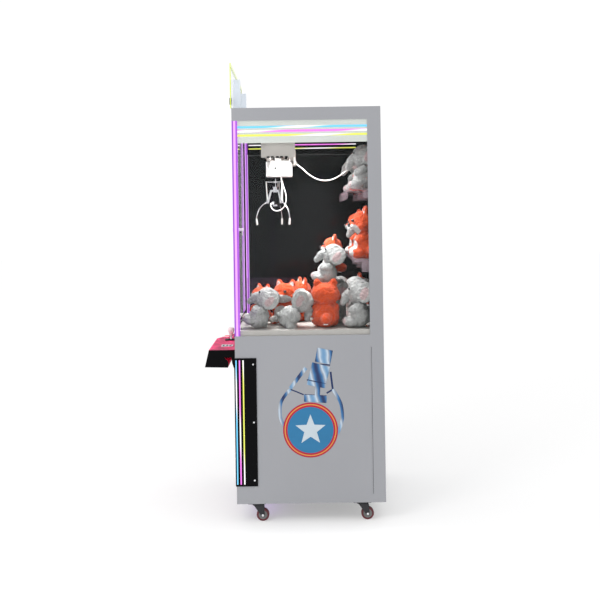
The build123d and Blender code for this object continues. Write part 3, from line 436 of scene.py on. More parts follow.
@dataclass(frozen=True)
class Moulded(Finish):
    """Moulded plastic, glossy or dull, with light flow marks and fine scratches."""

    roughness: float = 0.25
    coat: float = 0.3
    specular: float = 0.5

    def fill(self, graph: Graph) -> None:
        """Colour from stretched noise, roughness from scratches.

        Args:
            graph: The material being filled.
        """
        flow = graph.noise(9, 4, (1, 0.4, 2.2))
        graph.give({"Base Color": graph.mix(flow, shade(self.colour, 0.88), shade(self.colour, 1.08))})
        marks = graph.noise(140, 5, (1, 6, 0.3))
        graph.give(
            {
                "Roughness": graph.node(
                    "MapRange",
                    {"Value": marks, "To Min": self.roughness * 0.7, "To Max": self.roughness * 1.3},
                ),
                "Coat Weight": self.coat,
                "Coat Roughness": 0.12,
                "Specular IOR Level": self.specular,
            }
        )
        graph.bump(marks, 0.04, 0.0003)


@dataclass(frozen=True)
class Metal(Finish):
    """Plated or brushed metal, with its grain along one direction."""

    roughness: float = 0.22
    grain: Point = (1, 1, 12)

    def fill(self, graph: Graph) -> None:
        """Metal with tone and roughness from stretched noise.

        Args:
            graph: The material being filled.
        """
        lines = graph.noise(160, 4, self.grain)
        graph.give(
            {
                "Base Color": graph.mix(lines, shade(self.colour, 0.82), self.colour),
                "Metallic": 1.0,
                "Roughness": graph.node(
                    "MapRange",
                    {"Value": lines, "To Min": self.roughness * 0.7, "To Max": self.roughness * 1.5},
                ),
            }
        )
        graph.bump(lines, 0.06, 0.0003)


@dataclass(frozen=True)
class ClearSheet(Finish):
    """Clear glass or acrylic as a thin sheet: nearly all light passes, and it keeps its gloss."""

    alpha: float = 0.07
    roughness: float = 0.03

    def fill(self, graph: Graph) -> None:
        """A faint tint with smears in its roughness."""
        smears = graph.noise(5, 5, (1, 1, 0.6))
        graph.give(
            {
                "Base Color": self.colour,
                "Alpha": graph.node(
                    "MapRange", {"Value": smears, "To Min": self.alpha * 0.8, "To Max": self.alpha * 1.3}
                ),
                "Roughness": graph.node(
                    "MapRange", {"Value": smears, "To Min": self.roughness, "To Max": self.roughness * 2}
                ),
                "Specular IOR Level": 0.8,
            }
        )


@dataclass(frozen=True)
class SolidGlass(Finish):
    """Real glass, which mirrors the inside when it is looked along."""

    def fill(self, graph: Graph) -> None:
        """Full transmission with faint smears in its roughness.

        Args:
            graph: The material being filled.
        """
        smears = graph.noise(6, 5)
        rough = graph.node("MapRange", {"Value": smears, "To Min": 0.0, "To Max": 0.03})
        graph.give({"Base Color": self.colour, "Transmission Weight": 1.0, "IOR": 1.5, "Roughness": rough})


@dataclass(frozen=True)
class DarkMirror(Finish):
    """Black glass that mirrors what stands before it, dimly."""

    def fill(self, graph: Graph) -> None:
        """Black with a clean gloss and faint dust."""
        dust = graph.noise(60, 6)
        graph.give(
            {
                "Base Color": graph.mix(graph.between(dust, 0.5, 0.95), self.colour, shade(self.colour, 4)),
                "Roughness": 0.06,
                "Specular IOR Level": 0.13,
            }
        )


@dataclass(frozen=True)
class TyreRubber(Finish):
    """Dull rubber or soft plastic with a dusty grain."""

    roughness: float = 0.7

    def fill(self, graph: Graph) -> None:
        """Dusty colour and a fine grain.

        Args:
            graph: The material being filled.
        """
        grain = graph.noise(420, 4)
        dust = graph.between(graph.noise(30, 5), 0.4, 0.8)
        graph.give(
            {"Base Color": graph.mix(dust, self.colour, shade(self.colour, 1.5)), "Roughness": self.roughness}
        )
        graph.bump(grain, 0.15, 0.0005)


@dataclass(frozen=True)
class PlushPile(Finish):
    """Short plush pile: tufts lean in patches, with painted shade between the tufts and a soft sheen at the
    edges.
    """

    sheen: float = 0.22

    def fill(self, graph: Graph) -> None:
        """Colour from where the pile was brushed and from painted shade that darkens each tuft towards its
        edge, bump from fine and coarse tufts.

        Args:
            graph: The material being filled.
        """
        tufts = graph.node(
            "TexVoronoi", {"Vector": graph.place, "Scale": 210.0, "Randomness": 1.0}, "Distance"
        )
        brushed = graph.noise(48, 4)
        tone = graph.mix(
            graph.between(brushed, 0.32, 0.68), shade(self.colour, 0.55), shade(self.colour, 1.15)
        )
        # painted shade: each tuft's colour darkens towards its edge, where the pile between tufts lies in
        # shade
        tip = graph.mix(graph.between(tufts, 0.1, 0.75), tone, shade(self.colour, 0.6))
        graph.give(
            {
                "Base Color": tip,
                "Roughness": 0.95,
                "Specular IOR Level": 0.1,
                "Sheen Weight": self.sheen,
                "Sheen Roughness": 0.45,
            }
        )
        fur = graph.noise(300, 6)
        graph.bump(graph.maths("ADD", fur, graph.maths("MULTIPLY", brushed, 2.2)), 1.0, 0.006)


@dataclass(frozen=True)
class LitPanel(Finish):
    """A translucent panel with an even light behind it."""

    strength: float = 1.0
    alpha: float = 1.0

    def fill(self, graph: Graph) -> None:
        """Emission that fades a little in broad patches.

        Args:
            graph: The material being filled.
        """
        haze = graph.noise(3.2, 2)
        lit = graph.mix(haze, shade(self.colour, 0.85), self.colour)
        graph.give({"Base Color": lit, "Emission Color": lit, "Emission Strength": self.strength})
        graph.give({"Roughness": 0.35, "Alpha": self.alpha})


@dataclass(frozen=True)
class CornerGlow(Finish):
    """The corner posts: two pale stripes with a violet line between them."""

    strength: float = 1.0
    front: float = -0.2735
    depth: float = 0.026

    def fill(self, graph: Graph) -> None:
        """Stripes across the post's depth, with slow fading up its height.

        Args:
            graph: The material being filled.
        """
        across = graph.between(graph.axis("Y"), self.front, self.front + self.depth)
        violet, pale, soft = (0.2, 0.025, 0.42), (0.86, 0.46, 1.0), (0.5, 0.12, 0.78)
        stripes = graph.ramp(
            across,
            [
                (0.0, soft),
                (0.1, violet),
                (0.2, violet),
                (0.34, pale),
                (0.6, pale),
                (0.72, soft),
                (0.8, violet),
                (1.0, soft),
            ],
        )
        fade = graph.noise(2.2, 1)
        lit = graph.mix(graph.maths("MULTIPLY", fade, 0.35), stripes, soft)
        low = graph.between(graph.axis("Z"), 0.12, 0.8)
        glow = graph.mix(low, (0.3, 0.015, 0.7), lit)
        graph.give({"Base Color": graph.mix(0.7, lit, (0.0, 0.0, 0.0)), "Roughness": 0.3})
        graph.give({"Emission Color": glow, "Emission Strength": self.strength})


@dataclass(frozen=True)
class LightLines(Finish):
    """The thin lit lines: cyan, magenta and yellow, each fading to white along its length."""

    strength: float = 1.5
    corner_front: float = -0.2775
    corner_out: float = 0.404

    def fill(self, graph: Graph) -> None:
        """Picks each line's colour by its place, then fades it to white along the line.

        Args:
            graph: The material being filled.
        """
        cyan, pink, yellow = (0.16, 0.62, 0.95), (0.92, 0.2, 0.86), (0.78, 0.82, 0.12)
        x, y, z = (graph.axis(a) for a in "XYZ")
        inwards = graph.maths("SUBTRACT", self.corner_out, graph.maths("ABSOLUTE", x))
        backwards = graph.maths("SUBTRACT", y, self.corner_front)
        on_front = graph.maths("LESS_THAN", backwards, 0.0016)
        offset = graph.node("Mix", {0: on_front, 2: backwards, 3: inwards})
        high = graph.maths("GREATER_THAN", z, 1.2)
        downwards = graph.maths("SUBTRACT", 1.869, z)
        step = graph.node("Mix", {0: high, 2: offset, 3: downwards})
        tint = graph.ramp(graph.between(step, 0.0, 0.05), [(0.0, cyan), (0.34, pink), (0.67, yellow)], True)
        along = graph.node("Mix", {0: high, 2: z, 3: y})
        wave = graph.maths(
            "SINE",
            graph.maths("ADD", graph.maths("MULTIPLY", along, 11.0), graph.maths("MULTIPLY", step, 130.0)),
        )
        white = graph.between(wave, 0.3, 0.95)
        lit = graph.mix(white, tint, (1.0, 1.0, 1.0))
        graph.give({"Base Color": graph.mix(0.8, lit, (0.0, 0.0, 0.0)), "Roughness": 0.3})
        graph.give({"Emission Color": lit, "Emission Strength": self.strength})


@dataclass(frozen=True)
class ConsolePrint(Finish):
    """The console's printed film: pink clouds, orange glow and small darker shapes."""

    def fill(self, graph: Graph) -> None:
        """Layered noise in pinks, with cells for the printed shapes.

        Args:
            graph: The material being filled.
        """
        clouds = graph.ramp(
            graph.noise(13, 5), [
                (0.3, (0.34, 0.008, 0.07)),
                (0.48, self.colour),
                (0.62, (0.85, 0.09, 0.24)),
                (0.75, (0.9, 0.3, 0.24)),
            ]
        )
        cells = graph.node("TexVoronoi", {"Vector": graph.place, "Scale": 30.0}, "Distance")
        dots = graph.between(cells, 0.2, 0.13)
        graph.give(
            {
                "Base Color": graph.mix(graph.maths("MULTIPLY", dots, 0.7), clouds, (0.35, 0.01, 0.18)),
                "Roughness": 0.5,
                "Specular IOR Level": 0.12,
            }
        )


@dataclass(frozen=True)
class ChromePrint(Finish):
    """A printed picture of blue chrome: bands from white through sky blue to navy."""

    bands: float = 68.0

    def fill(self, graph: Graph) -> None:
        """Bands on the slant, bent a little by noise.

        Args:
            graph: The material being filled.
        """
        y, z = graph.axis("Y"), graph.axis("Z")
        slant = graph.maths(
            "ADD", graph.maths("MULTIPLY", y, self.bands), graph.maths("MULTIPLY", z, self.bands * 0.18)
        )
        wave = graph.maths(
            "SINE", graph.maths("ADD", slant, graph.maths("MULTIPLY", graph.noise(12, 2), 2.0))
        )
        tone = graph.ramp(
            graph.between(wave, -1, 1),
            [
                (0.0, (0.015, 0.03, 0.1)),
                (0.25, (0.04, 0.16, 0.36)),
                (0.5, (0.25, 0.3, 0.38)),
                (0.72, (0.5, 0.58, 0.66)),
                (1.0, (0.14, 0.28, 0.46)),
            ],
        )
        graph.give({"Base Color": tone, "Roughness": 0.45, "Specular IOR Level": 0.3})


@dataclass(frozen=True)
class EdgeLitSign(Finish):
    """Clear acrylic lit from below: its faces stay clear and its cut edges glow."""

    top: float = 2.165
    strength: float = 1.0

    def fill(self, graph: Graph) -> None:
        """Lime at the top and side edges, faint elsewhere.

        Args:
            graph: The material being filled.
        """
        z, x = graph.axis("Z"), graph.maths("ABSOLUTE", graph.axis("X"))
        rim = graph.maths(
            "MAXIMUM", graph.between(z, self.top - 0.022, self.top - 0.012), graph.between(x, 0.383, 0.39)
        )
        low = graph.between(z, 2.02, 1.95)
        lit = graph.maths("MAXIMUM", rim, graph.maths("MULTIPLY", low, 0.18))
        graph.give(
            {
                "Base Color": graph.mix(rim, (0.8, 0.88, 0.98), self.colour),
                "Emission Color": graph.mix(lit, (0.0, 0.0, 0.0), self.colour),
                "Emission Strength": self.strength,
                "Alpha": graph.node("MapRange", {"Value": rim, "To Min": 0.3, "To Max": 1.0}),
                "Roughness": 0.08,
            }
        )


GREY_PAINT = PowderCoat("powder_grey", (0.3, 0.305, 0.325))
BEIGE_PAINT = PowderCoat("powder_beige", (0.44, 0.42, 0.39))
WHITE_PAINT = PowderCoat("powder_white", (0.78, 0.78, 0.77), 0.4)
BLACK_PAINT = PowderCoat("powder_black", (0.02, 0.02, 0.022), 0.45)
BLACK_GLOSS = Moulded("black_gloss", (0.003, 0.003, 0.0035), 0.25, 0.0, 0.05)
BLACK_DULL = Moulded("black_dull", (0.005, 0.005, 0.0055), 0.5, 0.0, 0.06)
WHITE_GLOSS = Moulded("white_gloss", (0.85, 0.85, 0.84), 0.25)
DECK_WHITE = Moulded("deck_white", (0.45, 0.435, 0.41), 0.4, 0.1)
BRIGHT_STEEL = Metal("bright_steel", (0.8, 0.8, 0.82), 0.16)
DARK_STEEL = Metal("dark_zinc", (0.055, 0.055, 0.06), 0.38)
SATIN_ALUMINIUM = Metal("satin_aluminium", (0.72, 0.72, 0.74), 0.35)
WINDOW_GLASS = ClearSheet("window_glass", (0.09, 0.11, 0.11), 0.035)
DOOR_GLASS = SolidGlass("door_glass", (0.96, 0.98, 0.98))
FENCE_ACRYLIC = ClearSheet("fence_acrylic", (0.1, 0.06, 0.12), 0.08, 0.05)
SHELF_ACRYLIC = ClearSheet("shelf_acrylic", (0.8, 0.62, 0.7), 0.16, 0.1)
SMOKE_ACRYLIC = ClearSheet("smoke_acrylic", (0.05, 0.04, 0.06), 0.75, 0.08)
BLACK_MIRROR = DarkMirror("black_mirror", (0.004, 0.004, 0.0045))
MAROON_TYRE = TyreRubber("maroon_tyre", (0.09, 0.01, 0.016), 0.5)
GREY_NYLON = TyreRubber("grey_nylon", (0.13, 0.13, 0.13), 0.45)
WHITE_SLEEVE = TyreRubber("white_sleeve", (0.82, 0.82, 0.8), 0.45)
WHITE_JACKET = TyreRubber("white_jacket", (0.8, 0.8, 0.78), 0.5)
BLACK_JACKET = TyreRubber("black_jacket", (0.03, 0.03, 0.03), 0.6)
VALANCE_LIGHT = LitPanel("valance_light", (0.52, 0.55, 0.52), 1.15, 0.42)
BULB_WHITE = LitPanel("tube_light", (1.0, 1.0, 0.98), 1.3)
VIOLET_POST = CornerGlow("violet_post", (0.8, 0.4, 0.95), 0.9)
COLOUR_LINES = LightLines("colour_lines", (1.0, 1.0, 1.0), 1.05)
CONSOLE_FILM = ConsolePrint("console_film", (0.8, 0.02, 0.15))
CHROME_DECAL = ChromePrint("chrome_decal", (0.3, 0.5, 0.8))
BADGE_RED = Moulded("badge_red", (0.4, 0.02, 0.045), 0.45, 0.0, 0.2)
BADGE_GOLD = Moulded("badge_gold", (0.66, 0.27, 0.06), 0.45, 0.0, 0.2)
BADGE_BLUE = Moulded("badge_blue", (0.03, 0.17, 0.34), 0.45, 0.0, 0.2)
BADGE_WHITE = Moulded("badge_white", (0.5, 0.57, 0.62), 0.45, 0.0, 0.2)
NAVY_INK = Moulded("navy_ink", (0.015, 0.03, 0.1), 0.5, 0.0, 0.2)
LIME_SIGN = EdgeLitSign("lime_sign", (0.6, 0.7, 0.04), strength=0.12)
FROSTED = ClearSheet("frosted_post", (0.82, 0.88, 0.95), 0.65, 0.25)
PINK_KNOB = Moulded("pink_knob", (0.86, 0.62, 0.66), 0.15, 0.5)
RED_LENS = LitPanel("red_lens", (0.75, 0.03, 0.05), 0.6)
BOARD_GREEN = Moulded("board_green", (0.02, 0.14, 0.06), 0.4)
GREY_PLUSH = PlushPile("grey_plush_pile", (0.56, 0.57, 0.56))
WHITE_PLUSH = PlushPile("white_plush_pile", (0.8, 0.78, 0.77))
PINK_PLUSH = PlushPile("pink_plush_pile", (0.66, 0.5, 0.5))
ORANGE_PLUSH = PlushPile("orange_plush_pile", (0.92, 0.11, 0.028))
EYE_BLACK = Moulded("eye_black", (0.01, 0.01, 0.012), 0.08, 0.8)

NODE_FINISHES: dict[Finish, tuple[str, ...]] = {
    GREY_PAINT: (
        "side_shell_right", "side_shell_left", "roof_panel", "rear_panel", "front_panel", "service_door"
    ),
    WHITE_PAINT: ("ceiling_panel", "prize_chute", "trolley_chassis"),
    BEIGE_PAINT: ("bridge_beam",),
    BLACK_PAINT: ("base_frame", "coin_door"),
    BLACK_GLOSS: ("corner_panels", "console_cheeks", "coin_slot_housing", "bridge_motor"),
    BLACK_DULL: ("power_inlet", "joystick_base", "front_door_frame", "gantry_rails"),
    WHITE_GLOSS: ("trolley_cover", "door_latch"),
    DECK_WHITE: ("playfield_deck",),
    BRIGHT_STEEL: ("panel_screws", "claw_body", "claw_yoke", "joystick_gimbal", "coin_box"),
    DARK_STEEL: (
        "caster_plates",
        "caster_fork_front_left",
        "caster_fork_front_right",
        "caster_fork_rear_left",
        "caster_fork_rear_right",
    ),
    MAROON_TYRE: (
        "caster_wheel_front_left",
        "caster_wheel_front_right",
        "caster_wheel_rear_left",
        "caster_wheel_rear_right",
    ),
    SATIN_ALUMINIUM: ("power_supply",),
    WINDOW_GLASS: ("side_glass",),
    DOOR_GLASS: ("front_glass",),
    FENCE_ACRYLIC: ("chute_fence",),
    SHELF_ACRYLIC: ("prize_shelves",),
    SMOKE_ACRYLIC: ("prize_flap",),
    VALANCE_LIGHT: ("valance_panels",),
    COLOUR_LINES: ("light_lines",),
    VIOLET_POST: ("glow_strips",),
    CONSOLE_FILM: ("console_shell",),
    LIME_SIGN: ("topper_sign",),
    FROSTED: ("topper_supports",),
    RED_LENS: ("grab_button",),
    BOARD_GREEN: ("control_board",),
}


# ---------------------------------------------------------------- camera, floor and light


@dataclass
class Studio:
    """The camera, the floor and the lights."""

    eye: Point = (4.5, 0.0415, 1.42)
    lens: float = 52.4
    shift: float = -0.1333
    roll: float = -0.85
    floor_grey: float = 0.62
    floor_glow: float = 0.36
    surround: float = 1.04
    key_watts: float = 46.0
    ceiling_watts: float = 13.5

    def aim(self) -> None:
        """Makes the camera, level and square to the machine's right side."""
        data = bpy.data.cameras.new("view")
        data.lens, data.sensor_width, data.shift_y = self.lens, 36.0, self.shift
        camera = bpy.data.objects.new("view", data)
        bpy.context.scene.collection.objects.link(camera)
        turn = Matrix.Rotation(radians(90), 4, "Z") @ Matrix.Rotation(radians(90), 4, "X")
        camera.matrix_world = Matrix.Translation(self.eye) @ turn @ Matrix.Rotation(
            radians(self.roll), 4, "Z"
        )
        bpy.context.scene.camera = camera

    def floor(self) -> None:
        """Lays a wide pale floor."""
        unselect()
        bpy.ops.mesh.primitive_plane_add(size=60)
        plane = bpy.context.object
        plane.name = "studio_floor"
        graph = Graph("studio_floor")
        graph.give({"Base Color": (self.floor_grey,) * 3, "Roughness": 0.9, "Specular IOR Level": 0.0})
        graph.give({"Emission Color": (1.0, 1.0, 1.0), "Emission Strength": self.floor_glow})
        plane.data.materials.append(graph.material)

    def lamp(
        self,
        name: str,
        place: Point,
        target: Point,
        size: tuple[float, float],
        watts: float,
        spread: float = 180,
    ) -> None:
        """Adds one soft rectangular light.

        Args:
            name: The light's name.
            place: Where it stands.
            target: What it points at.
            size: Its width and height.
            watts: Its power.
            spread: How wide its light opens, in degrees.
        """
        data = bpy.data.lights.new(name, "AREA")
        data.shape, data.size, data.size_y = "RECTANGLE", *size
        data.energy, data.spread = watts, radians(spread)
        light = bpy.data.objects.new(name, data)
        bpy.context.scene.collection.objects.link(light)
        light.location = place
        light.rotation_euler = (Vector(target) - Vector(place)).to_track_quat("-Z", "Y").to_euler()
        light.visible_camera = False

    def light(self) -> None:
        """Sets an even white surround, a soft key and the cabinet's own ceiling light."""
        scene = bpy.context.scene
        scene.view_settings.view_transform = "Standard"
        world = bpy.data.worlds.new("surround")
        world.use_nodes = True
        world.node_tree.nodes["Background"].inputs[0].default_value = (1, 1, 1, 1)
        world.node_tree.nodes["Background"].inputs[1].default_value = self.surround
        scene.world = world
        self.lamp("key", (3.0, -2.4, 3.2), (0.2, 0, 1.1), (1.6, 1.6), self.key_watts)
        self.lamp(
            "ceiling_light",
            (0.08, 0.0, 1.893),
            (0.08, 0.0, 0.9),
            (0.6, 0.3),
            self.ceiling_watts,
            spread=105,
        )


# ---------------------------------------------------------------- cables


@dataclass
class Cables:
    """The hoist cord, the claw's own cable and the white cable that trails behind the bridge."""

    gantry: tuple[Point, ...] = (
        (-0.05, 0.0282, 1.7103),
        (-0.05, 0.0522, 1.6935),
        (-0.05, 0.084, 1.661),
        (-0.05, 0.121, 1.636),
        (-0.05, 0.155, 1.6245),
        (-0.05, 0.188, 1.6225),
        (-0.05, 0.22, 1.6305),
        (-0.05, 0.25, 1.6465),
        (-0.05, 0.281, 1.668),
        (-0.05, 0.314, 1.69),
        (-0.05, 0.35, 1.708),
        (-0.05, 0.385, 1.718),
        (-0.05, 0.4165, 1.718),
    )
    claw: tuple[Point, ...] = (
        (-0.16, -0.056, 1.65),
        (-0.152, -0.054, 1.632),
        (-0.14, -0.043, 1.598),
        (-0.127, -0.031, 1.56),
        (-0.121, -0.029, 1.526),
        (-0.123, -0.037, 1.496),
        (-0.128, -0.057, 1.475),
        (-0.134, -0.082, 1.468),
        (-0.141, -0.104, 1.478),
        (-0.147, -0.114, 1.5),
        (-0.1614, -0.1116, 1.512),
        (-0.1782, -0.1007, 1.512),
    )
    hoist: tuple[Point, ...] = (
        (-0.2, -0.0865, 1.643), (-0.2, -0.0865, 1.67), (-0.2, -0.0865, 1.71), (-0.2, -0.0865, 1.752)
    )

    def run(
        self,
        name: str,
        points: tuple[Point, ...],
        diameter: float,
        finish: Finish,
        bodies: tuple[str, str],
        facts: dict,
    ) -> None:
        """Args:
            name: The CAD node it stands for.
            points: Its line's control points.
            diameter: Its diameter.
            finish: Its jacket.
            bodies: The bodies at its two ends. Not used.
            facts: Its stiffness, how it lies, and the blend's start and end. Not used.
        """
        piece, centre = tube(name + "_run", list(points), diameter / 2, finish)
        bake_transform(piece)
        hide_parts(name)

    def build(self) -> None:
        """Makes all three cables, the claw cable's gland and the gantry cable's wall plate."""
        self.run(
            "gantry_cable", self.gantry, 0.006, WHITE_JACKET, ("cabinet", "bridge"),
            {"stiffness": "medium", "lay": "hanging", "start": (-0.05, 0.4, 1.7), "end": (-0.05, 0.04, 1.7)},
        )
        self.run(
            "claw_cable", self.claw, 0.005, WHITE_JACKET, ("trolley", "claw"),
            {
                "stiffness": "limp",
                "lay": "hanging",
                "start": (-0.16, -0.056, 1.649),
                "end": (-0.16, -0.056, 1.53),
            },
        )
        self.run(
            "hoist_cord", self.hoist, 0.0028, BLACK_JACKET, ("trolley", "claw"),
            {
                "stiffness": "limp",
                "lay": "taut",
                "start": (-0.2, -0.0865, 1.75),
                "end": (-0.2, -0.0865, 1.645),
            },
        )
        gland = turned(
            "cable_gland",
            [(0, -0.006), (0.0042, -0.006), (0.0062, -0.001), (0.0075, 0.0), (0.0075, 0.0022), (0, 0.0022)],
            (-0.16, -0.056, 1.6515),
            WHITE_SLEEVE,
        )
        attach(gland, "trolley")
        wall = rod("cable_wall_plate", (-0.05, 0.4165, 1.718), (-0.05, 0.4225, 1.718), 0.012, WHITE_GLOSS)
        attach(wall, "cabinet")


# ---------------------------------------------------------------- plush prizes


class Kind(Enum):
    """The two kinds of plush prize."""

    ELEPHANT = "elephant"
    FOX = "fox"


@dataclass(frozen=True)
class Lump:
    """One stuffed part of a toy, as an ellipsoid in the toy's own axes: centre, radii and turn in degrees."""

    centre: Point
    radii: Point
    turn: Point = (0, 0, 0)


@dataclass(frozen=True)
class Patch:
    """Where a toy's cloth changes: an ellipsoid of space and the plush inside it."""

    centre: Point
    radii: Point
    finish: Finish


@dataclass(frozen=True)
class Pattern:
    """What a kind of toy is sewn from."""

    node: str
    cloth: Finish
    lumps: tuple[Lump, ...]
    patches: tuple[Patch, ...]
    eyes: tuple[Point, ...]
    nose: Point | None


def both(lumps: list[Lump]) -> tuple[Lump, ...]:
    """The lumps and their mirror images on the toy's other side."""
    other = [
        Lump((-s.centre[0], s.centre[1], s.centre[2]), s.radii, (s.turn[0], -s.turn[1], -s.turn[2]))
        for s in lumps
    ]
    return (*lumps, *other)


def both_patches(patches: list[Patch]) -> tuple[Patch, ...]:
    """The patches and their mirror images."""
    return (*patches, *[Patch((-p.centre[0], p.centre[1], p.centre[2]), p.radii, p.finish) for p in patches])


PATTERNS = {
    Kind.ELEPHANT: Pattern(
        "plush_elephants",
        GREY_PLUSH,
        (
            Lump((0, 0, 0), (0.055, 0.05, 0.053)),
            Lump((0, -0.008, 0.097), (0.055, 0.053, 0.053)),
            Lump((0, -0.05, 0.086), (0.024, 0.026, 0.022)),
            Lump((0, -0.067, 0.066), (0.016, 0.017, 0.022), (25, 0, 0)),
            Lump((0, -0.076, 0.046), (0.0125, 0.014, 0.016)),
            *both(
                [
                    Lump((0.042, -0.018, 0.03), (0.018, 0.036, 0.02), (28, 0, -12)),
                    Lump((0.032, -0.038, -0.03), (0.023, 0.034, 0.021), (6, 0, -14)),
                    Lump((0.06, 0.012, 0.1), (0.0095, 0.04, 0.045), (0, -8, -18)),
                ]
            ),
            Lump((0, 0.046, -0.022), (0.009, 0.014, 0.009)),
        ),
        (
            Patch((0, -0.05, 0), (0.034, 0.03, 0.04), WHITE_PLUSH),
            *both_patches(
                [
                    Patch((0.071, 0.0, 0.1), (0.009, 0.028, 0.033), PINK_PLUSH),
                    Patch((0.036, -0.078, -0.03), (0.019, 0.02, 0.017), PINK_PLUSH),
                ]
            ),
        ),
        ((0.028, -0.056, 0.108), (-0.028, -0.056, 0.108)),
        None,
    ),
    Kind.FOX: Pattern(
        "plush_foxes",
        ORANGE_PLUSH,
        (
            Lump((0, 0, 0), (0.05, 0.045, 0.047)),
            Lump((0, -0.006, 0.083), (0.053, 0.046, 0.045)),
            Lump((0, -0.04, 0.072), (0.02, 0.022, 0.015)),
            *both(
                [
                    Lump((0.036, -0.014, 0.026), (0.015, 0.03, 0.017), (26, 0, -10)),
                    Lump((0.028, -0.034, -0.027), (0.02, 0.03, 0.018), (4, 0, -12)),
                    Lump((0.028, 0.0, 0.12), (0.016, 0.009, 0.026), (0, 14, 0)),
                    Lump((0.042, -0.018, 0.07), (0.017, 0.016, 0.014)),
                ]
            ),
        ),
        (
            Patch((0, -0.044, -0.002), (0.03, 0.028, 0.04), WHITE_PLUSH),
            Patch((0, -0.045, 0.06), (0.052, 0.034, 0.019), WHITE_PLUSH),
            *both_patches(
                [
                    Patch((0.03, -0.008, 0.119), (0.009, 0.006, 0.017), WHITE_PLUSH),
                    Patch((0.029, -0.066, -0.027), (0.018, 0.018, 0.016), WHITE_PLUSH),
                ]
            ),
        ),
        ((0.023, -0.05, 0.091), (-0.023, -0.05, 0.091)),
        (0, -0.064, 0.075),
    ),
}
BODY_RADIUS = {Kind.ELEPHANT: 0.052, Kind.FOX: 0.046}
SEAT_GAP = 0.0005
EYE_RADIUS = 0.006
NOSE_RADIUS = 0.0075
TUFT_RELIEF = ((0.03, 0.006), (0.012, 0.0065), (0.005, 0.0035))
FOX_TAIL_BEHIND: Point = (0, 0.05, -0.008)
FOX_TAIL_BESIDE: Point = (0.044, 0.02, -0.014)


@dataclass(frozen=True)
class Seat:
    """Where a toy's body is, the way it faces, how far it leans back, and its size."""

    kind: Kind
    place: Point
    heading: float
    lean: float
    size: float
    tail: Point = FOX_TAIL_BEHIND

    def matrix(self) -> Matrix:
        """The toy's own axes in the machine's frame."""
        turn = Matrix.Rotation(radians(self.heading), 4, "Z") @ Matrix.Rotation(radians(-self.lean), 4, "X")
        return Matrix.Translation(self.place) @ turn @ Matrix.Scale(self.size, 4)


def on(surface: float, kind: Kind, size: float) -> float:
    """The height of a toy's body centre when it sits on a surface."""
    return surface + BODY_RADIUS[kind] * size + SEAT_GAP


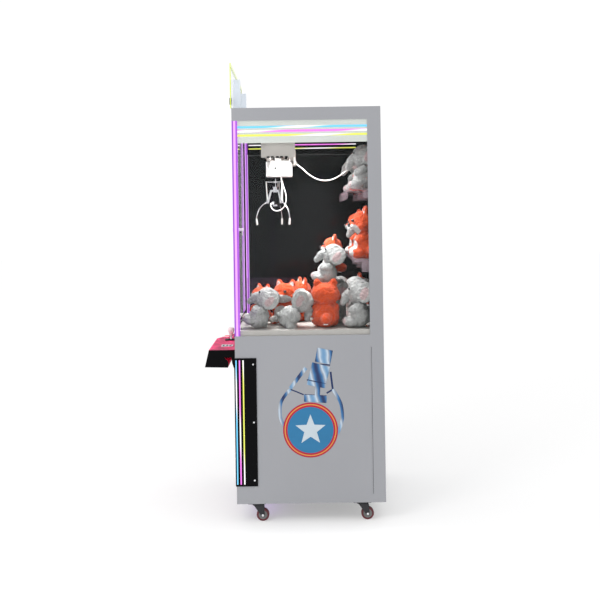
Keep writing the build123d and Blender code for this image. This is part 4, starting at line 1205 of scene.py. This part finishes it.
@dataclass
class Prizes:
    """All the plush prizes: on the deck, in the pile and on the two shelves."""

    deck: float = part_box("playfield_deck")[HIGH][Z]
    lower: float = 1.230
    upper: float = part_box("prize_shelves")[HIGH][Z]
    voxel: float = 0.00341
    plump: Point = (1.14, 1.04, 1.07)

    def seats(self) -> list[Seat]:
        """Where every toy sits."""
        e, f = Kind.ELEPHANT, Kind.FOX
        return [
            Seat(e, (0.3, -0.166, on(self.deck, e, 0.95)), 0, 30, 0.95),
            Seat(e, (0.292, -0.02, on(self.deck, e, 0.95)), 180, -38, 0.95),
            Seat(e, (0.308, 0.318, on(self.deck, e, 1.05)), 0, 6, 1.05),
            Seat(e, (0.215, 0.168, 1.15), 0, 24, 0.95),
            Seat(e, (0.255, 0.356, on(self.upper, e, 1.02)), 0, 4, 1.02),
            Seat(e, (0.095, 0.215, on(self.deck, e, 1.0)), 0, 10, 1.0),
            Seat(e, (-0.09, 0.33, on(self.deck, e, 1.0)), 20, 4, 1.0),
            Seat(e, (-0.27, 0.2, on(self.deck, e, 1.0)), -30, 10, 1.0),
            Seat(e, (-0.25, 0.356, on(self.upper, e, 1.0)), 0, 4, 1.0),
            Seat(e, (0.01, 0.366, on(self.lower, e, 1.0)), 0, 4, 1.0),
            Seat(f, (0.3, 0.158, on(self.deck, f, 1.15)), -90, 0, 1.15),
            Seat(f, (0.095, 0.196, 1.19), 0, 8, 1.0),
            Seat(f, (0.25, 0.362, on(self.lower, f, 1.25)), 0, 0, 1.25, FOX_TAIL_BESIDE),
            Seat(f, (0.165, -0.04, on(self.deck, f, 1.1)), 60, 6, 1.1),
            Seat(f, (0.02, 0.04, on(self.deck, f, 1.1)), 20, 4, 1.1),
            Seat(f, (0.15, -0.16, on(self.deck, f, 1.0)), 40, 8, 1.0),
            Seat(f, (-0.09, 0.165, on(self.deck, f, 1.1)), -20, 4, 1.1),
            Seat(f, (-0.29, 0.366, on(self.deck, f, 1.1)), 0, 0, 1.1, FOX_TAIL_BESIDE),
            Seat(f, (0.08, 0.362, on(self.upper, f, 1.1)), 0, 2, 1.1, FOX_TAIL_BESIDE),
            Seat(f, (-0.23, 0.362, on(self.lower, f, 1.2)), 0, 0, 1.2, FOX_TAIL_BESIDE),
        ]

    def stuff(self, lumps: tuple[Lump, ...]) -> bpy.types.Object:
        """Joins the lumps under one skin, in the toy's own axes, and softens it.

        Args:
            lumps: The stuffed parts.

        Returns:
            The toy's skin.
        """
        made = []
        for lump in lumps:
            unselect()
            bpy.ops.mesh.primitive_uv_sphere_add(
                segments=24,
                ring_count=16,
                location=lump.centre,
                rotation=[radians(a) for a in lump.turn],
                scale=lump.radii,
            )
            bpy.ops.object.transform_apply(location=True, rotation=True, scale=True)
            made.append(bpy.context.object)
        skin = join("skin", made)
        modifier(skin, "REMESH", mode="VOXEL", voxel_size=self.voxel)
        modifier(skin, "SMOOTH", factor=0.5, iterations=4)
        for scale, height in TUFT_RELIEF:
            tufts = bpy.data.textures.new("tufts", "CLOUDS")
            tufts.noise_scale = scale
            modifier(skin, "DISPLACE", texture=tufts, strength=height, mid_level=0.5, texture_coords="LOCAL")
        return skin

    def cut_cloth(self, skin: bpy.types.Object, pattern: Pattern) -> None:
        """Gives every face the plush of the patch it lies in.

        Args:
            skin: The toy's skin.
            pattern: What the toy is sewn from.
        """
        finishes = [pattern.cloth, *dict.fromkeys(p.finish for p in pattern.patches)]
        skin.data.materials.clear()
        for finish in finishes:
            skin.data.materials.append(finish.material())
        for face in skin.data.polygons:
            for patch in pattern.patches:
                away = Vector((a - b) / r for a, b, r in zip(face.center, patch.centre, patch.radii))
                if away.length < 1:
                    face.material_index = finishes.index(patch.finish)
        for face in skin.data.polygons:
            face.use_smooth = True

    def bead(self, place: Point, radius: float) -> bpy.types.Object:
        """A glossy eye or nose, pressed a little flat.

        Args:
            place: Its middle.
            radius: Its radius.

        Returns:
            The bead.
        """
        unselect()
        bpy.ops.mesh.primitive_uv_sphere_add(
            segments=16, ring_count=10, radius=radius, location=place, scale=(1, 0.7, 1)
        )
        return seal("bead", EYE_BLACK, 80)

    def build(self) -> None:
        """Makes every toy from its kind's pattern."""
        skins = {}
        for number, seat in enumerate(self.seats(), start=1):
            pattern = PATTERNS[seat.kind]
            key = (seat.kind, seat.tail)
            if key not in skins:
                lumps = pattern.lumps
                patches = pattern.patches
                if seat.kind is Kind.FOX:
                    tip = tuple(c * 1.4 for c in seat.tail)
                    lumps = (*lumps, Lump(seat.tail, (0.021, 0.026, 0.021)))
                    if seat.tail == FOX_TAIL_BESIDE:
                        patches = (*patches, Patch(tip, (0.018, 0.018, 0.03), WHITE_PLUSH))
                skin = self.stuff(lumps)
                self.cut_cloth(skin, Pattern(pattern.node, pattern.cloth, lumps, patches, (), None))
                beads = [self.bead(eye, EYE_RADIUS) for eye in pattern.eyes]
                if pattern.nose is not None:
                    beads.append(self.bead(pattern.nose, NOSE_RADIUS))
                if seat.kind is Kind.FOX and seat.tail == FOX_TAIL_BEHIND:
                    beads.append(
                        slab("tag", (-0.007, 0.038, -0.032), (0.009, 0.053, -0.028), WHITE_SLEEVE, 0.001)
                    )
                skins[key] = join("toy", [skin, *beads])
            toy = skins[key].copy()
            toy.data = skins[key].data.copy()
            toy.name = f"plush_{seat.kind.value}_{number}"
            bpy.context.scene.collection.objects.link(toy)
            low = BODY_RADIUS[seat.kind]
            plumped = Matrix.Diagonal((*self.plump, 1))
            swell = Matrix.Translation((0, 0, -low)) @ plumped @ Matrix.Translation((0, 0, low))
            toy.data.transform(seat.matrix() @ swell)
            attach(toy, "cabinet")
            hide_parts(pattern.node)
        for skin in skins.values():
            bpy.data.objects.remove(skin)
        report.info("prizes: %d toys", len(self.seats()))


# ---------------------------------------------------------------- claw


@dataclass
class Claw:
    """The three bowed fingers with their levers and soft tips, and the solenoid's trim."""

    x: float = middle_of("hoist_cord")[X]
    y: float = middle_of("hoist_cord")[Y]
    angles: tuple[float, ...] = (-76, 44, 164)
    pivot_out: float = 0.046
    pivot_z: float = 1.517
    bow: Outline = (
        (0.046, 1.517),
        (0.06, 1.513),
        (0.078, 1.499),
        (0.094, 1.478),
        (0.104, 1.452),
        (0.108, 1.43),
        (0.1065, 1.414),
    )
    tip: Outline = ((0.1078, 1.43), (0.1065, 1.418), (0.1045, 1.407), (0.104, 1.3975))
    lever: Outline = ((0.046, 1.515), (0.048, 1.55), (0.0505, 1.59), (0.052, 1.629))

    def point(self, angle: float, out: float, z: float, aside: float = 0.0) -> Point:
        """A point at a distance from the claw's axis, in the upright plane of a finger."""
        turn = radians(angle)
        return (self.x + out * cos(turn) - aside * sin(turn), self.y + out * sin(turn) + aside * cos(turn), z)

    def finger(self, number: int, angle: float) -> None:
        """Makes one finger in place of its plain solid.

        Args:
            number: Which finger it is.
            angle: Which way the finger points, in degrees.
        """
        wire, _ = tube("wire", [self.point(angle, r, z) for r, z in self.bow], 0.0026, BRIGHT_STEEL)
        sleeve, _ = tube("sleeve", [self.point(angle, r, z) for r, z in self.tip], 0.005, WHITE_SLEEVE)
        parts = [wire, sleeve]
        for aside in (-0.0035, 0.0035):
            lever, _ = tube(
                "lever", [self.point(angle, r, z, aside) for r, z in self.lever], 0.0024, WHITE_SLEEVE
            )
            parts.append(lever)
        parts.append(
            rod(
                "knuckle",
                self.point(angle, 0.047, 1.517, -0.0052),
                self.point(angle, 0.047, 1.517, 0.0052),
                0.0058,
                BRIGHT_STEEL,
            )
        )
        parts.append(
            rod(
                "top_pin",
                self.point(angle, 0.052, 1.627, -0.005),
                self.point(angle, 0.052, 1.627, 0.005),
                0.0032,
                BRIGHT_STEEL,
            )
        )
        piece = join(f"finger_{number}", parts)
        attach(piece, f"claw_finger_{number}")
        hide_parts(f"claw_arm_{number}")

    def build(self) -> None:
        """Makes the fingers and the bands and pins on the claw's body."""
        for number, angle in enumerate(self.angles, start=1):
            self.finger(number, angle)
            pin = rod(
                f"claw_pin_{number}",
                self.point(angle, self.pivot_out, self.pivot_z, -0.0105),
                self.point(angle, self.pivot_out, self.pivot_z, 0.0105),
                0.0032,
                BRIGHT_STEEL,
            )
            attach(pin, "claw")
        outline = [(0, 1.506), (0.0158, 1.506), (0.0162, 1.51), (0.0162, 1.566), (0.0158, 1.57), (0, 1.57)]
        sleeve = turned("solenoid_wrap", outline, (self.x, self.y, 0), BLACK_DULL)
        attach(sleeve, "claw")
        wheels = []
        for side in (-1, 1):
            for y in (-0.122, -0.092, -0.062, -0.03):
                start = self.x + side * 0.046
                wheels.append(
                    rod("roller", (start, y, 1.757), (start + side * 0.006, y, 1.757), 0.0068, BLACK_DULL, 24)
                )
        # painted shade: small black slabs on the trolley's sides stand for the shade inside its slots
        slot = [slab(
            "slot",
            (self.x + side * 0.0498, -0.0915, 1.6945),
            (self.x + side * 0.0506, -0.0815, 1.7015),
            BLACK_DULL,
            0.0003,
        ) for side in (-1, 1)]
        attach(join("trolley_rollers_and_slot_shade", wheels + slot), "trolley")
        for face, word in (
            (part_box("bridge_beam")[HIGH][X], "right"), (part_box("bridge_beam")[LOW][X], "left")
        ):
            # painted shade: thin black slabs on the beam's faces stand for the shade inside its slots
            slot_shade_slabs = [
                slab(
                    "gap",
                    (face - 0.0005, y, 1.7155),
                    (face + 0.0006, y + 0.014, 1.7235),
                    BLACK_DULL,
                    0.0002,
                )
                for y in (-0.112, -0.092, -0.068, -0.048, -0.026)
            ]
            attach(join(f"bridge_slot_shade_{word}", slot_shade_slabs), "bridge")
        report.info("claw: three fingers")


# ---------------------------------------------------------------- cabinet


@dataclass
class Cabinet:
    """The dark mirrors inside the window, the ceiling's light tubes and the side badge."""

    badge_y: float = middle_of("side_shell_right")[Y]
    badge_z: float = 0.4335
    badge_radius: float = 0.129
    side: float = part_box("side_shell_right")[HIGH][X]
    deck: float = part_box("playfield_deck")[HIGH][Z]
    ceiling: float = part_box("ceiling_panel")[LOW][Z]
    rear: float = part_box("rear_panel")[LOW][Y]

    def mirrors(self) -> None:
        """Black glass inside the far side and the back."""
        floor, roof, front, back_edge = self.deck + 0.0005, self.ceiling - 0.002, -0.246, self.rear - 0.003
        step = 1.7845
        far = slab("side_mirror", (-0.3925, front, floor), (-0.3895, back_edge, step), BLACK_MIRROR, 0.0008)
        above = slab(
            "side_mirror_top", (-0.3885, front, step), (-0.3868, back_edge, roof), BLACK_MIRROR, 0.0006
        )
        back = slab(
            "rear_mirror",
            (-0.3885, self.rear - 0.0027, floor),
            (0.3885, self.rear - 0.0002, roof),
            BLACK_MIRROR,
            0.0008,
        )
        for piece in (far, above, back):
            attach(piece, "cabinet")

    def inner_lines(self) -> None:
        """The lit lines again, on the inner faces of the two rails, and the seams on the sides."""
        for sign, word in ((-1, "left"), (1, "right")):
            lines = [
                slab(
                    "line",
                    (min(sign * 0.3835, sign * 0.3825), -0.24, z - 0.003),
                    (max(sign * 0.3835, sign * 0.3825), 0.36, z + 0.003),
                    COLOUR_LINES,
                    0.0003,
                )
                for z in (1.86, 1.841, 1.821)
            ]
            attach(join(f"inner_lines_{word}", lines), "cabinet")
            out = sign * self.side
            seam = slab(
                f"side_seam_{word}",
                (out - 0.0004, 0.3675, 0.13),
                (out + 0.0004, 0.3689, 0.82),
                BLACK_DULL,
                0.0002,
            )
            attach(seam, "cabinet")

    def tubes(self) -> None:
        """Two light tubes on the ceiling."""
        height = self.ceiling - 0.013
        for number, y in enumerate((-0.215, 0.33), start=1):
            lamp = rod(f"light_tube_{number}", (-0.34, y, height), (0.34, y, height), 0.008, BULB_WHITE, 24)
            caps = [rod(
                "cap", (x, y, height), (x + 0.014, y, height), 0.0095, WHITE_GLOSS, 24
            ) for x in (-0.35, 0.336)]
            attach(join(f"light_tube_{number}", [lamp, *caps]), "cabinet")

    def disc(
        self, name: str, sign: int, radius: float, out: float, finish: Finish, sides: int = 96
    ) -> bpy.types.Object:
        """One flat disc of the badge."""
        x = sign * self.side
        return rod(
            name,
            (x, self.badge_y, self.badge_z),
            (x + sign * out, self.badge_y, self.badge_z),
            radius,
            finish,
            sides,
        )

    def star(self, sign: int) -> bpy.types.Object:
        """A plain five-pointed star in the middle of the badge.

        Args:
            sign: The side of the machine: 1 is right, -1 is left.

        Returns:
            The star.
        """
        unselect()
        x = sign * (self.side + 0.0009)
        place = (x, self.badge_y, self.badge_z)
        bpy.ops.mesh.primitive_circle_add(
            vertices=10, radius=0.074, fill_type="TRIFAN", location=place, rotation=(0, sign * pi / 2, 0)
        )
        piece = bpy.context.object
        rim = [spot for spot in piece.data.vertices if spot.co.length > 0.01]
        for spot in rim[1::2]:
            spot.co *= 0.42
        piece.data.transform(Matrix.Rotation(sign * pi / 2, 4, "Z"))
        modifier(piece, "SOLIDIFY", thickness=0.0012, offset=0)
        return seal("badge_star", BADGE_WHITE)

    def stroke(
        self, sign: int, points: list[tuple[float, float]], width: float, finish: Finish
    ) -> bpy.types.Object:
        """One printed stroke of the side picture, nearly flat on the panel.

        Args:
            sign: The side of the machine: 1 is right, -1 is left.
            points: The control points.
            width: Its width.
            finish: Its finish.

        Returns:
            The stroke.
        """
        x = sign * self.side
        places = [(x, self.badge_y + y, self.badge_z + z) for y, z in points]
        piece, _ = tube("stroke", places, width / 2, finish)
        piece.data.transform(
            Matrix.Translation((x, 0, 0)) @ Matrix.Diagonal((0.06, 1, 1, 1)) @ Matrix.Translation((-x, 0, 0))
        )
        return piece

    def picture(self, sign: int) -> None:
        """A claw and a badge printed on one side of the base.

        Args:
            sign: The side of the machine: 1 is right, -1 is left.
        """
        parts = [
            self.stroke(sign, [(0.034, 0.228), (0.044, 0.268), (0.055, 0.306)], 0.088, CHROME_DECAL),
            self.stroke(sign, [(0.061, 0.314), (0.068, 0.35), (0.074, 0.3785)], 0.074, CHROME_DECAL),
            self.stroke(sign, [(0.024, 0.303), (0.058, 0.309), (0.096, 0.303)], 0.006, NAVY_INK),
            self.stroke(sign, [(0.039, 0.362), (0.07, 0.368), (0.105, 0.36)], 0.005, NAVY_INK),
            self.stroke(sign, [(-0.012, 0.224), (0.03, 0.212), (0.074, 0.206)], 0.022, CHROME_DECAL),
            self.stroke(sign, [(-0.014, 0.236), (0.03, 0.224), (0.076, 0.217)], 0.006, NAVY_INK),
            self.stroke(sign, [(0.037, 0.206), (0.036, 0.186), (0.034, 0.158)], 0.024, CHROME_DECAL),
            self.stroke(sign, [(-0.028, 0.15), (0.024, 0.148), (0.078, 0.142)], 0.034, CHROME_DECAL),
            self.stroke(sign, [(-0.026, 0.166), (0.026, 0.163), (0.078, 0.158)], 0.006, NAVY_INK),
            self.stroke(sign, [(-0.018, 0.292), (-0.055, 0.245), (-0.092, 0.197)], 0.017, CHROME_DECAL),
            self.stroke(
                sign,
                [(-0.092, 0.192), (-0.135, 0.15), (-0.144, 0.09), (-0.138, 0.04), (-0.108, -0.006)],
                0.015,
                CHROME_DECAL,
            ),
            self.stroke(sign, [(0.098, 0.272), (0.102, 0.23), (0.107, 0.19)], 0.009, NAVY_INK),
            self.stroke(
                sign,
                [(0.107, 0.19), (0.14, 0.14), (0.151, 0.09), (0.15, 0.03), (0.126, -0.02)],
                0.015,
                CHROME_DECAL,
            ),
            self.stroke(sign, [(-0.092, 0.192), (-0.06, 0.18), (-0.03, 0.166)], 0.006, NAVY_INK),
            self.stroke(sign, [(0.078, 0.172), (0.092, 0.18), (0.106, 0.188)], 0.008, NAVY_INK),
            self.disc("badge", sign, self.badge_radius, 0.0006, BADGE_RED),
            self.disc("ring", sign, self.badge_radius * 0.945, 0.0008, BADGE_GOLD),
            self.disc("inner_ring", sign, self.badge_radius * 0.905, 0.001, BADGE_RED),
            self.disc("face", sign, self.badge_radius * 0.84, 0.0012, BADGE_BLUE),
            self.star(sign),
        ]
        piece = join(f"side_picture_{'right' if sign > 0 else 'left'}", parts)
        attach(piece, "cabinet")

    def build(self) -> None:
        """Makes all of the cabinet's added pieces."""
        self.mirrors()
        self.inner_lines()
        self.tubes()
        for sign in (-1, 1):
            self.picture(sign)
        report.info("cabinet: mirrors, light tubes and side pictures")


# ---------------------------------------------------------------- console


@dataclass
class Console:
    """The joystick with its pear-shaped knob, the button's ring and the console's printed strip."""

    stick_x: float = middle_of("joystick_stick")[X]
    stick_y: float = middle_of("joystick_stick")[Y]
    top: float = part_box("console_shell")[HIGH][Z]
    button: tuple[float, float] = tuple(middle_of("grab_button")[:2])

    def joystick(self) -> None:
        """Makes the stick in place of its plain solid."""
        centre = (self.stick_x, self.stick_y, 0.0)
        shaft = turned(
            "shaft",
            [
                (0, 0.774),
                (0.004, 0.774),
                (0.004, 0.779),
                (0.007, 0.782),
                (0.007, 0.788),
                (0.004, 0.791),
                (0.004, 0.828),
                (0, 0.828),
            ],
            centre,
            BRIGHT_STEEL,
        )
        knob = turned(
            "knob",
            [
                (0, 0.82),
                (0.006, 0.82),
                (0.0085, 0.8225),
                (0.0095, 0.829),
                (0.0125, 0.8365),
                (0.0158, 0.8445),
                (0.0168, 0.852),
                (0.0158, 0.8585),
                (0.0125, 0.8635),
                (0.007, 0.8662),
                (0, 0.867),
            ],
            centre,
            PINK_KNOB,
        )
        pin = rod(
            "pin",
            (self.stick_x, self.stick_y - 0.016, 0.785),
            (self.stick_x, self.stick_y + 0.016, 0.785),
            0.002,
            BRIGHT_STEEL,
        )
        piece = join("joystick", [shaft, knob, pin])
        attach(piece, "joystick")
        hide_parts("joystick_stick")

    def build(self) -> None:
        """Makes the stick, its dust washer, the button's ring and the printed strip."""
        self.joystick()
        washer = turned(
            "stick_ring",
            [
                (0.0148, 0.8032),
                (0.0205, 0.8032),
                (0.021, 0.8042),
                (0.017, 0.8058),
                (0.0148, 0.8058),
                (0.0148, 0.8032),
            ],
            (self.stick_x, self.stick_y, 0),
            BLACK_GLOSS,
        )
        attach(washer, "cabinet")
        ring = turned(
            "button_ring",
            [
                (0.0126, 0.8),
                (0.0165, 0.8),
                (0.017, 0.8014),
                (0.0155, 0.803),
                (0.0136, 0.8034),
                (0.0126, 0.8026),
                (0.0126, 0.8),
            ],
            (*self.button, 0),
            WHITE_GLOSS,
        )
        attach(ring, "cabinet")
        plate = slab(
            "instruction_strip",
            (0.115, -0.358, self.top),
            (0.185, -0.302, self.top + 0.0008),
            FROSTED,
            0.0003,
        )
        marks = [slab(
            "mark",
            (0.128, y, self.top + 0.0006),
            (0.172, y + 0.008, self.top + 0.0012),
            BLACK_GLOSS,
            0.0002,
        ) for y in (-0.352, -0.335, -0.318)]
        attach(join("instruction_strip", [plate, *marks]), "cabinet")
        report.info("console: joystick, ring and strip")


# ---------------------------------------------------------------- casters and roof sign


@dataclass
class RunningGear:
    """The rings and axle ends on the four casters."""

    half_width: float = 0.012
    corners: tuple[str, ...] = ("front_left", "front_right", "rear_left", "rear_right")

    def build(self) -> None:
        """Adds a grey ring and a bright axle end on both sides of every wheel."""
        for corner in self.corners:
            x, wheel_y, axle = middle_of(f"caster_wheel_{corner}")
            rings, nuts = [], []
            for side in (-1, 1):
                face = x + side * (self.half_width - 0.0015)
                rings.append(
                    rod(
                        "ring",
                        (face, wheel_y, axle),
                        (face + side * 0.0012, wheel_y, axle),
                        0.0205,
                        GREY_NYLON,
                        40,
                    )
                )
                end = x + side * 0.019
                nuts.append(
                    rod(
                        "nut",
                        (end, wheel_y, axle),
                        (end + side * 0.003, wheel_y, axle),
                        0.0058,
                        BRIGHT_STEEL,
                        24,
                    )
                )
            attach(join(f"caster_rings_{corner}", rings), f"caster_roll_{corner}")
            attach(join(f"caster_nuts_{corner}", nuts), f"caster_swivel_{corner}")
        for x in (-0.236, 0.236):
            foot = slab(
                f"sign_foot_{'right' if x > 0 else 'left'}",
                (x + 0.02, -0.292, 1.984),
                (x + 0.034, -0.2795, 2.017),
                BLACK_GLOSS,
                0.003,
            )
            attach(foot, "cabinet")
        report.info("running gear: rings and nuts")


def dress_nodes() -> None:
    """Gives every CAD node that stays visible its finish."""
    for finish, names in NODE_FINISHES.items():
        for name in names:
            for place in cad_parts[name].material_slots:
                place.material = finish.material()


def main() -> None:
    """Builds the machine's pieces in order."""
    logging.basicConfig(level=logging.INFO)
    studio = Studio()
    studio.aim()
    Cables().build()
    studio.floor()
    studio.light()
    dress_nodes()
    for group in (Cabinet(), Claw(), Console(), RunningGear(), Prizes()):
        group.build()


if __name__ == "__main__":
    main()
